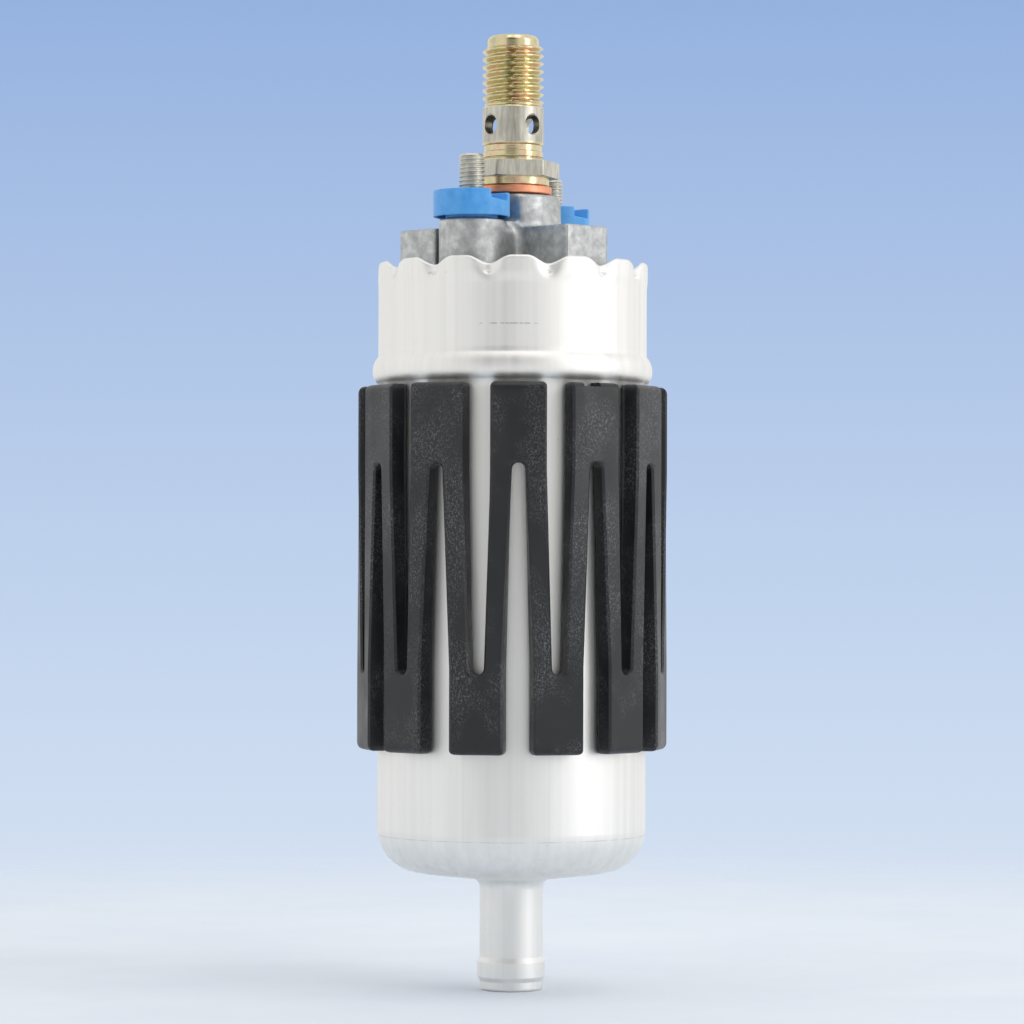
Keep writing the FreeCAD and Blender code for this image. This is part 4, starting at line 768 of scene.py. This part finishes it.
valve_rows = outline([
    (0, point_top, 0), (point_flat, point_top, 0.7), (point_radius, point_shoulder, 0.6),
    (point_radius, point_foot, 0.1), (thread_core, point_foot - 0.2, 0),
    (thread_core, thread_bottom + 0.2, 0), (undercut_radius, thread_bottom, 0.05),
    (undercut_radius, plain_top + 0.1, 0.1), (5.7, plain_top, 0.1),
    (plain_radius, plain_top - 0.3, 0.1), (plain_radius, plain_bottom + 0.2, 0.1), (5.75, plain_bottom, 0.1),
    (waist_radius, plain_bottom - 0.1, 0.1), (waist_radius, band_top + 0.2, 0.15),
    (band_radius, band_top, 0.1), (band_radius, groove_top + 0.1, 0.05), (groove_radius, groove_top, 0.05),
    (groove_radius, groove_foot, 0.05), (band_radius, groove_foot - 0.1, 0.05), (band_radius, hex_top, 0)])
valve_rows += [hex_row(hex_top - rise, rise) for rise in (0.0, 0.08, 0.18)]
valve_rows.append(hex_row((hex_bottom + hex_top) / 2, 1.0))
valve_rows += [hex_row(hex_bottom + rise, rise) for rise in (0.18, 0.08, 0.0)]
valve_rows += outline([
    (collar_radius, hex_bottom, 0), (collar_radius, collar_foot + 0.2, 0.1),
    (collar_radius - 0.2, collar_foot, 0), (plain_radius, collar_foot, 0), (plain_radius, valve_end, 0.2),
    (valve_bore, valve_end, 0.2), (valve_bore, bore_top, 0.2), (0, bore_top + 0.5, 0)])
valve_body = turned("outlet_valve_body", valve_rows, fine_turns, 30.0)


def cut_with(piece, cutter):
    """Takes the cutter's shape out of a piece."""
    change = piece.modifiers.new("cut", "BOOLEAN")
    change.operation, change.object, change.solver = "DIFFERENCE", cutter, "EXACT"
    shown = piece.evaluated_get(bpy.context.evaluated_depsgraph_get())
    mesh = bpy.data.meshes.new_from_object(shown)
    piece.modifiers.clear()
    piece.data = mesh
    bpy.data.objects.remove(cutter)
    return piece


drill_rows = outline([
    (0, -drill_reach, 0), (mouth_radius, -drill_reach, 0), (mouth_radius, -mouth_outer, 0),
    (cross_radius, -mouth_inner, 0), (cross_radius, mouth_inner, 0), (mouth_radius, mouth_outer, 0),
    (mouth_radius, drill_reach, 0), (0, drill_reach, 0)])
for turn in (cross_turn, cross_turn + 90):
    drill = turned("drill", drill_rows, np.radians(np.arange(0, 360, 7.5)))
    cos, sin = math.cos(math.radians(turn)), math.sin(math.radians(turn))
    for point in drill.data.vertices:
        across, up, along = point.co
        point.co = along * cos - across * sin, along * sin + across * cos, up + cross_middle * millimetre
    cut_with(valve_body, drill)
valve_thread = threaded("valve_thread", thread_crest, thread_root, thread_pitch, thread_bottom - 0.15,
                        thread_top + 0.05, chamfer=0.35, rise=0.52, turns=161)
valve = settle(joined("outlet_check_valve", valve_body, valve_thread), 30.0)

# Yellow chromate on zinc: straw gold with rose and green clouds; the seat and the hexagon are greyer.
# The lathe's marks are drawn 0.25 mm apart, wider than the real ones, so that they show.
plating, tree, shader, place = new_material("yellow_chromated_zinc", Metallic=1.0)
noises = []
for size, stretch in ((2.2, (1, 1, 1)), (0.8, (1, 1, 5)), (0.25, (10, 10, 1))):
    spread = add(tree, "ShaderNodeVectorMath", {0: place, 1: grains(size, *stretch)}, operation="MULTIPLY")
    noises.append(add(tree, "ShaderNodeTexNoise", {**plain_noise, "Vector": spread}))
clouds, streaks, lathe_marks = noises
gold = add(tree, "ShaderNodeValToRGB", {0: clouds},
           stops=[(0.3, "#d6b29b"), (0.45, "#d9cba4"), (0.58, "#cfc59b"), (0.72, "#babd9b")])
grey = add(tree, "ShaderNodeValToRGB", {0: streaks}, stops=[(0.3, "#a9a79c"), (0.7, "#d4d1c4")])
height = add(tree, "ShaderNodeSeparateXYZ", {0: place}).outputs[2]
seat_heights = (plain_bottom + 0.2, plain_bottom + 0.6, plain_top - 0.5, plain_top - 0.2)
hexagon_heights = (hex_bottom - 0.1, hex_bottom, hex_top, hex_top + 0.1)
shares = []
for start, full, still_full, end in (seat_heights, hexagon_heights):
    entry = add(tree, "ShaderNodeMapRange", {0: height, 1: start * millimetre, 2: full * millimetre})
    leave = add(tree, "ShaderNodeMapRange", {
        0: height, 1: still_full * millimetre, 2: end * millimetre, 3: 1.0, 4: 0.0})
    shares.append(add(tree, "ShaderNodeMath", {0: entry, 1: leave}, operation="MULTIPLY"))
greyer = add(tree, "ShaderNodeMath", {0: shares[0], 1: shares[1]}, operation="MAXIMUM")
mixed = add(tree, "ShaderNodeMix", {0: greyer, 6: gold, 7: grey}, data_type="RGBA")
tree.links.new(mixed.outputs[2], shader.inputs["Base Color"])
add(tree, "ShaderNodeMapRange", {0: greyer, 1: 0.0, 2: 1.0, 3: 0.2, 4: 0.42}, to=shader.inputs["Roughness"])
add(tree, "ShaderNodeBump", {"Height": lathe_marks, "Distance": 0.012 * millimetre, "Strength": 0.4},
    to=shader.inputs["Normal"])
dress(valve, "pump", "valve_plating", plating, "check_valve_body")


# Outlet washer: stamped soft copper ring under the collar, matt, orange, edges rounded by the die.
washer_bore, washer_radius, washer_foot, washer_middle = 6.05, 7.5, 72.3, 72.9
washer = turned("outlet_washer_ring", outline([
    (washer_bore, washer_middle, 0), (washer_bore, washer_foot, 0.15), (washer_radius, washer_foot, 0.3),
    (washer_radius, collar_foot, 0.35), (washer_bore, collar_foot, 0.15), (washer_bore, washer_middle, 0)]),
    np.radians(np.arange(0, 360, 2.5)))

# Soft copper: matt orange, clouded, with fine marks that run round it. The marks are drawn 0.3 mm
# apart, wider than the real ones, so that they show.
copper, tree, shader, place = new_material("stamped_copper", Metallic=1.0)
spread = add(tree, "ShaderNodeVectorMath", {0: place, 1: grains(1.5)}, operation="MULTIPLY")
cloud = add(tree, "ShaderNodeTexNoise", {**plain_noise, "Vector": spread})
spread = add(tree, "ShaderNodeVectorMath", {0: place, 1: grains(0.3, 8, 8, 1)}, operation="MULTIPLY")
grain = add(tree, "ShaderNodeTexNoise", {**plain_noise, "Vector": spread})
add(tree, "ShaderNodeValToRGB", {0: cloud}, stops=[(0.3, "#de9270"), (0.7, "#f4ae8c")],
    to=shader.inputs["Base Color"])
add(tree, "ShaderNodeMapRange", {0: cloud, 1: 0.3, 2: 0.7, 3: 0.36, 4: 0.5}, to=shader.inputs["Roughness"])
add(tree, "ShaderNodeBump", {"Height": grain, "Distance": 0.015 * millimetre, "Strength": 0.4},
    to=shader.inputs["Normal"])
dress(washer, "pump", "washer_copper", copper, "outlet_washer")


# Isolating sleeve: one black moulding of twelve upper and twelve lower tiles joined by slanting legs.
# It is sprung over the can. Tiles are flat, their edges bevelled, and the skin is satin with scuffs.
sleeve_face = 29.7  # from the axis to a tile's flat face
sleeve_root = 26.05
tile_count = 12
tile_turn = 5.9  # degrees, first upper tile's middle
tile_half = {1: 5.25, -1: 4.9}  # half widths of upper and lower tiles
slot_half = 1.3
upper_end, lower_end, sleeve_half = 18.5, -18.7, 35.0  # heights of the slots' round ends and the edge
tile_corner, tile_bevel, end_round = 1.0, 0.4, 1.4
under_bevel, under_height = 0.8, 26.75  # the back's chamfer: how far in, and from where


def tile_rows(closed_end, free_end):
    """Heights of a tile's rows from its slot's closed end to its free edge, close where it is rounded."""
    way = 1 if free_end > closed_end else -1
    arc = [closed_end + way * slot_half * math.sin(math.radians(angle))
           for angle in (0, 15, 30, 45, 60, 72, 81, 87, 90)]
    tip = closed_end + way * slot_half
    above = [tip + way * s for s in (0.1, 0.25, 0.4, 0.55, 0.7, 1.2, 3.0, 6.0, 9.0)]
    corner = [free_end - way * s for s in (2.0, 1.3, 1.0, 0.8, 0.6, 0.45, 0.3, 0.18, 0.08, 0.02, 0.0)]
    return arc + above + corner


def sleeve_section(height, closed_end, free_end):
    """Inner and outer edge of half a tile at a height, measured from the tile's middle."""
    way = 1 if free_end > closed_end else -1
    into_slot = way * (height - closed_end)
    inner = math.sqrt(max(slot_half ** 2 - into_slot ** 2, 0)) if into_slot < slot_half else 0.0
    to_edge = way * (free_end - height)
    outer = tile_half[way]
    if to_edge < tile_corner:
        outer -= tile_corner - math.sqrt(max(tile_corner ** 2 - (tile_corner - to_edge) ** 2, 0))
    return inner, outer


def edge_distance(across, height, closed_end, free_end):
    """Distance on the face from a point of half a tile to the tile's outline."""
    way = 1 if free_end > closed_end else -1
    to_side = tile_half[way] - across
    to_edge = way * (free_end - height)
    nearest = min(to_side, to_edge + tile_bevel)
    if to_side < tile_corner and to_edge < tile_corner:
        nearest = tile_corner - math.hypot(tile_corner - to_side, tile_corner - to_edge)
    into_slot = way * (height - closed_end)
    to_slot = math.hypot(across, max(into_slot, 0)) - slot_half
    return max(min(nearest, to_slot), 0.0)


def across_places(inner, outer):
    """Columns between a row's edges: close together where the bevels lie."""
    width = outer - inner
    bevel = min(tile_bevel, width * 0.35)
    near = [inner + bevel * s for s in (0, 0.25, 0.5, 0.75, 1.0)]
    far = [outer - bevel * s for s in (1.0, 0.75, 0.5, 0.25, 0)]
    middle = [inner + bevel + (width - 2 * bevel) * s for s in (0.2, 0.4, 0.6, 0.8)]
    return near + middle + far


def back(across):
    """How far in front of the axis the sleeve's curved back lies."""
    return math.sqrt(sleeve_root ** 2 - across ** 2)


def section_points(height, closed_end, free_end, turn, mirrored):
    """Closed loop round half a tile's section: the face, the outer side, the back, the inner side."""
    inner, outer = sleeve_section(height, closed_end, free_end)
    places = across_places(inner, outer)
    loop = []
    for across in places:
        to_end = min(abs(free_end - height), end_round)
        drop = max(tile_bevel - edge_distance(across, height, closed_end, free_end),
                   end_round - math.sqrt(end_round ** 2 - (end_round - to_end) ** 2))
        loop.append((sleeve_face - drop, across))
    hollow = under_bevel * min(1.0, inner / slot_half)
    edge_in, edge_out = inner + hollow, outer - under_bevel
    loop += [(under_height, outer), (back(edge_out), edge_out)]
    loop += [(back(a), a) for a in (edge_out + (edge_in - edge_out) * s / 4 for s in (1, 2, 3))]
    loop += [(back(edge_in), edge_in), (under_height, inner)]
    side = -1 if mirrored else 1
    cos, sin = math.cos(turn), math.sin(turn)
    return [(r * cos - side * a * sin, r * sin + side * a * cos, height) for r, a in loop], inner


def run_back(loop, face):
    """The same loop run the other way, so that its side edges trade places."""
    return loop[:face][::-1] + [loop[-1], loop[-2]] + loop[face + 2:-2][::-1] + [loop[face + 1], loop[face]]


def half_unit():
    """Half an upper tile, the leg under it and half the next lower tile, as rows of one loop each."""
    next_turn = math.pi / tile_count
    rows = []
    for height in reversed(tile_rows(upper_end, sleeve_half)):
        rows.append(section_points(height, upper_end, sleeve_half, 0.0, False))
    start = rows[-1][0]
    lower = [section_points(height, lower_end, -sleeve_half, next_turn, True)
             for height in tile_rows(lower_end, -sleeve_half)]
    finish = lower[0][0]
    size = len(start)
    face = len(across_places(0, 1))
    # The leg's near edge on the upper tile is its far edge on the lower one, so that loop runs back.
    backward = run_back(finish, face)
    for step in range(1, 12):
        share = step / 12
        leg = [tuple((1 - share) * a + share * b for a, b in zip(p, q)) for p, q in zip(start, backward)]
        rows.append((leg, 1.0))
    for loop, inner in lower:
        rows.append((run_back(loop, face), inner if inner > 0 else -1.0))
    # A row's second value is above 0 where a slot parts two halves. Where they meet, with no side
    # between them, it is 0 in an upper tile and -1 in a lower one.
    points, faces = [], []
    for loop, _ in rows:
        points += loop
    for i in range(len(rows) - 1):
        marks = (rows[i][1], rows[i + 1][1])
        for j in range(size):
            k = (j + 1) % size
            if max(marks) == 0.0 and j >= size - 2:
                continue
            if min(marks) < 0.0 and max(marks) <= 0.0 and face - 1 <= j <= face:
                continue
            faces.append((i * size + j, i * size + k, (i + 1) * size + k, (i + 1) * size + j))
    top = list(range(size))
    bottom = [(len(rows) - 1) * size + j for j in range(size)]
    faces += [tuple(top), tuple(reversed(bottom))]
    return points, faces


unit_points, unit_faces = half_unit()
unit_mesh = bpy.data.meshes.new("sleeve_half_unit")
unit_mesh.from_pydata([tuple(c * millimetre for c in p) for p in unit_points], [], unit_faces)


def ring_tree():
    """Node tree that mirrors a half unit and sets copies of it round the axis."""
    tree = bpy.data.node_groups.new("sleeve_ring", "GeometryNodeTree")
    tree.interface.new_socket("Geometry", in_out="INPUT", socket_type="NodeSocketGeometry")
    tree.interface.new_socket("Geometry", in_out="OUTPUT", socket_type="NodeSocketGeometry")
    tree.interface.new_socket("Units", in_out="INPUT", socket_type="NodeSocketInt")
    tree.interface.new_socket("First Turn", in_out="INPUT", socket_type="NodeSocketFloat")
    tree.interface.new_socket("Material", in_out="INPUT", socket_type="NodeSocketMaterial")
    given = add(tree, "NodeGroupInput").outputs
    mirrored = add(tree, "GeometryNodeTransform", {"Geometry": given["Geometry"], "Scale": (1.0, -1.0, 1.0)})
    flipped = add(tree, "GeometryNodeFlipFaces", {0: mirrored})
    both = add(tree, "GeometryNodeJoinGeometry", {0: given["Geometry"]})
    tree.links.new(flipped.outputs[0], both.inputs[0])
    points = add(tree, "GeometryNodePoints", {"Count": given["Units"]})
    pitch = add(tree, "ShaderNodeMath", {0: 2 * math.pi, 1: given["Units"]}, operation="DIVIDE")
    index = add(tree, "GeometryNodeInputIndex")
    turn = add(tree, "ShaderNodeMath", {0: index, 1: pitch, 2: given["First Turn"]}, operation="MULTIPLY_ADD")
    spin = add(tree, "ShaderNodeCombineXYZ", {2: turn})
    ring = add(tree, "GeometryNodeInstanceOnPoints", {"Points": points, "Instance": both, "Rotation": spin})
    real = add(tree, "GeometryNodeRealizeInstances", {0: ring})
    merged = add(tree, "GeometryNodeMergeByDistance", {"Geometry": real, "Distance": 2e-6})
    painted = add(tree, "GeometryNodeSetMaterial", {"Geometry": merged, "Material": given["Material"]})
    add(tree, "NodeGroupOutput", {0: painted})
    return tree


sleeve = grown("zigzag_isolating_sleeve", ring_tree(),
               {"Units": tile_count, "First Turn": math.radians(tile_turn)}, unit_mesh)
# It isn't sprung on quite evenly: on one side the tiles sit up to 2.3 degrees further round. Bearings
# are in degrees, clockwise from the front.
slip_most, slip_from, slip_reach = -2.3, 4, 36
slip_end, slip_fade = 200, 80
front = 33.5
spots = np.array([point.co[:] for point in sleeve.data.vertices])
turns = np.degrees(np.arctan2(spots[:, 1], spots[:, 0]))
round_from_front = (front - turns) % 360
slip = slip_most * smooth((round_from_front - slip_from) / slip_reach)
slip = np.radians(slip * smooth((slip_end - round_from_front) / slip_fade))
moved = np.stack([spots[:, 0] * np.cos(slip) - spots[:, 1] * np.sin(slip),
                  spots[:, 0] * np.sin(slip) + spots[:, 1] * np.cos(slip), spots[:, 2]], -1)
sleeve.data.vertices.foreach_set("co", moved.ravel())
sleeve = settle(sleeve, 28.0)

# A small moulding notch in one tile's upper edge.
notch_turn = math.radians(64.3)
notch_half, notch_floor = 1.85, 34.2
cos, sin = math.cos(notch_turn), math.sin(notch_turn)
notch = plain_mesh(
    "notch", [(r * cos - a * sin, r * sin + a * cos, z)
              for r in (24.0, 31.0) for a in (-notch_half, notch_half) for z in (notch_floor, 36.0)],
    [(0, 1, 3, 2), (4, 6, 7, 5), (0, 4, 5, 1), (2, 3, 7, 6), (0, 2, 6, 4), (1, 5, 7, 3)])
sleeve = settle(cut_with(sleeve, notch), 28.0)

# Black moulded nylon: satin, near black, a speckled skin with pale scuffs in patches. Its grain is
# drawn at 0.4 mm, coarser than the real one, so that it shows.
sleeve_black, tree, shader, place = new_material("moulded_black_nylon", IOR=1.53, Specular_IOR_Level=0.42)
noises = []
for size, stretch, detail, roughness in (
        (5.0, (1, 1, 2), 3.0, 0.55), (9.0, (1, 1, 1.5), 2.0, 0.55), (0.32, (1, 1, 1.3), 5.0, 0.75),
        (0.4, (1, 1, 1), 4.0, 0.55)):
    spread = add(tree, "ShaderNodeVectorMath", {0: place, 1: grains(size, *stretch)}, operation="MULTIPLY")
    noises.append(add(tree, "ShaderNodeTexNoise", {
        **plain_noise, "Vector": spread, "Detail": detail, "Roughness": roughness}))
cloud, handled, scuffs, grain = noises
worn = add(tree, "ShaderNodeValToRGB", {0: handled}, stops=[(0.42, "#000000"), (0.62, "#ffffff")])
tone = add(tree, "ShaderNodeValToRGB", {0: cloud}, stops=[(0.3, "#141518"), (0.7, "#1d1e21")])
pale = add(tree, "ShaderNodeValToRGB", {0: scuffs}, stops=[(0.5, "#000000"), (0.68, "#6a6b6f")])
mixed = add(tree, "ShaderNodeMix", {0: worn, 6: tone, 7: pale}, data_type="RGBA", blend_type="ADD")
tree.links.new(mixed.outputs[2], shader.inputs["Base Color"])
add(tree, "ShaderNodeMapRange", {0: cloud, 1: 0.3, 2: 0.7, 3: 0.34, 4: 0.5}, to=shader.inputs["Roughness"])
add(tree, "ShaderNodeBump", {"Height": grain, "Distance": 0.03 * millimetre, "Strength": 0.4},
    to=shader.inputs["Normal"])
dress(sleeve, "pump", "sleeve_plastic", sleeve_black, "isolating_sleeve")


# Set: a round sheet of pale paper under the inlet neck that fades into a pale blue backdrop. White
# walls stand all round, with a dark gap between them behind the camera, a tall soft lamp at the right
# and another one above. None of it is part of the pump, and its sizes are metres.
floor_height = -0.08165
floor_radius = 0.9
fade_start, fade_end = 0.12, 0.45
bearings = np.radians(np.arange(0, 360, 5))
floor_mesh = bpy.data.meshes.new("floor")
edge_points = [(floor_radius * math.cos(turn), floor_radius * math.sin(turn), floor_height)
               for turn in bearings]
floor_mesh.from_pydata(edge_points, [], [tuple(range(len(bearings)))])
floor = bpy.data.objects.new("floor", floor_mesh)
bpy.context.scene.collection.objects.link(floor)
paper, tree, shader, place = new_material("pale_paper", Roughness=0.9)
spread = add(tree, "ShaderNodeVectorMath", {0: place, 1: grains(40.0)}, operation="MULTIPLY")
cloud = add(tree, "ShaderNodeTexNoise", {**plain_noise, "Vector": spread})
add(tree, "ShaderNodeValToRGB", {0: cloud}, stops=[(0.3, "#dee6f0"), (0.7, "#e4ebf3")],
    to=shader.inputs["Base Color"])
from_middle = add(tree, "ShaderNodeVectorMath", {0: place}, operation="LENGTH").outputs["Value"]
add(tree, "ShaderNodeMapRange", {0: from_middle, 1: fade_start, 2: fade_end, 3: 1.0, 4: 0.0},
    to=shader.inputs["Alpha"], interpolation_type="SMOOTHSTEP")
floor_mesh.materials.append(paper)

camera_turn = 33.5  # degrees from +X towards +Y
camera_distance = 0.765
camera_height = 0.00045
camera_roll = 0.145  # degrees

world = bpy.data.worlds.new("studio")
bpy.context.scene.world = world
world.use_nodes = True
sky = world.node_tree
sky.nodes.clear()
way = add(sky, "ShaderNodeTexCoord").outputs["Generated"]
ahead = (math.cos(math.radians(camera_turn)), math.sin(math.radians(camera_turn)), 0.0)
right = (-ahead[1], ahead[0], 0.0)
forward = add(sky, "ShaderNodeVectorMath", {0: way, 1: ahead}, operation="DOT_PRODUCT").outputs["Value"]
sideways = add(sky, "ShaderNodeVectorMath", {0: way, 1: right}, operation="DOT_PRODUCT").outputs["Value"]
bearing = add(sky, "ShaderNodeMath", {0: sideways, 1: forward}, operation="ARCTAN2")
share = add(sky, "ShaderNodeMapRange", {0: bearing, 1: -math.pi, 2: math.pi})
# How bright the walls are by bearing, in degrees from the camera's own, positive to its right.
wall_levels = [(-180, 0.84), (-100, 0.84), (-60, 0.84), (-36, 0.84), (-26, 0.8), (4, 0.8), (14, 0.82),
               (48, 0.84), (58, 0.96), (84, 0.96), (100, 0.88), (140, 0.88), (180, 0.84)]
walls = add(sky, "ShaderNodeValToRGB", {0: share},
            stops=[((degrees + 180) / 360, level) for degrees, level in wall_levels])
height = add(sky, "ShaderNodeSeparateXYZ", {0: way}).outputs[2]
# The gap starts a little above the horizon and has soft sides.
gap_foot, gap_full, gap_level = 0.075, 0.115, 0.15
left_start, left_full, right_full, right_start = (math.radians(degrees) for degrees in (-34, -24, 6, 28))
above = add(sky, "ShaderNodeMapRange", {0: height, 1: gap_foot, 2: gap_full, 3: 1.0, 4: gap_level})
gap_left = add(sky, "ShaderNodeMapRange", {0: bearing, 1: left_start, 2: left_full})
gap_right = add(sky, "ShaderNodeMapRange", {0: bearing, 1: right_start, 2: right_full})
gap = add(sky, "ShaderNodeMath", {0: gap_left, 1: gap_right}, operation="MULTIPLY")
open_share = add(sky, "ShaderNodeMix", {0: gap, 2: 1.0, 3: above})
room_strength = 1.15
level = add(sky, "ShaderNodeMath", {0: open_share.outputs[0], 1: room_strength}, operation="MULTIPLY")
room = add(sky, "ShaderNodeBackground", {0: walls, 1: level})
# The backdrop is what the camera sees, directly or through what is clear, and what mirrors show of
# the side straight behind the pump.
backdrop_low, backdrop_high = -0.14, 0.17
rise = add(sky, "ShaderNodeMapRange", {0: height, 1: backdrop_low, 2: backdrop_high})
tone = add(sky, "ShaderNodeValToRGB", {0: rise}, stops=[(0.0, "#e2eaf5"), (0.4, "#c3d5ee"), (1.0, "#8babdd")])
backdrop = add(sky, "ShaderNodeBackground", {0: tone, 1: 1.0})
path = add(sky, "ShaderNodeLightPath").outputs
behind = add(sky, "ShaderNodeMapRange", {0: forward, 1: -0.93, 2: -0.985})
mirrored = add(sky, "ShaderNodeMath", {0: path["Is Glossy Ray"], 1: behind}, operation="MULTIPLY")
seen = add(sky, "ShaderNodeMath", {0: path["Is Camera Ray"], 1: path["Is Transmission Ray"]},
           operation="MAXIMUM")
seen = add(sky, "ShaderNodeMath", {0: seen, 1: mirrored}, operation="MAXIMUM")
shown = add(sky, "ShaderNodeMixShader", {0: seen, 1: room, 2: backdrop})
add(sky, "ShaderNodeOutputWorld", {0: shown})


def lamp(name, turn, height, distance, width, tall, watts):
    """Soft rectangular lamp aimed at the pump; turn is measured from the camera, to its right."""
    light = bpy.data.lights.new(name, "AREA")
    light.shape, light.size, light.size_y, light.energy = "RECTANGLE", width, tall, watts
    made = bpy.data.objects.new(name, light)
    way = math.radians(camera_turn + turn)
    made.location = (distance * math.cos(way), distance * math.sin(way), height)
    made.rotation_euler = (math.atan2(distance, height), 0, way + math.pi / 2)
    bpy.context.scene.collection.objects.link(made)
    return made


lamp("key", turn=66, height=0.25, distance=0.75, width=0.25, tall=0.7, watts=1.15)
lamp("top", turn=10, height=0.8, distance=0.25, width=0.5, tall=0.5, watts=0.9)

camera_data = bpy.data.cameras.new("camera")
camera = bpy.data.objects.new("camera", camera_data)
bpy.context.scene.collection.objects.link(camera)
way = math.radians(camera_turn)
camera.location = (camera_distance * math.cos(way), camera_distance * math.sin(way), camera_height)
camera.rotation_euler = (math.pi / 2, -math.radians(camera_roll), way + math.pi / 2)
camera_data.sensor_width = 36.0
camera_data.lens = 138.6
camera_data.shift_y = 0.0527
bpy.context.scene.camera = camera
bpy.context.scene.view_settings.view_transform = "Standard"
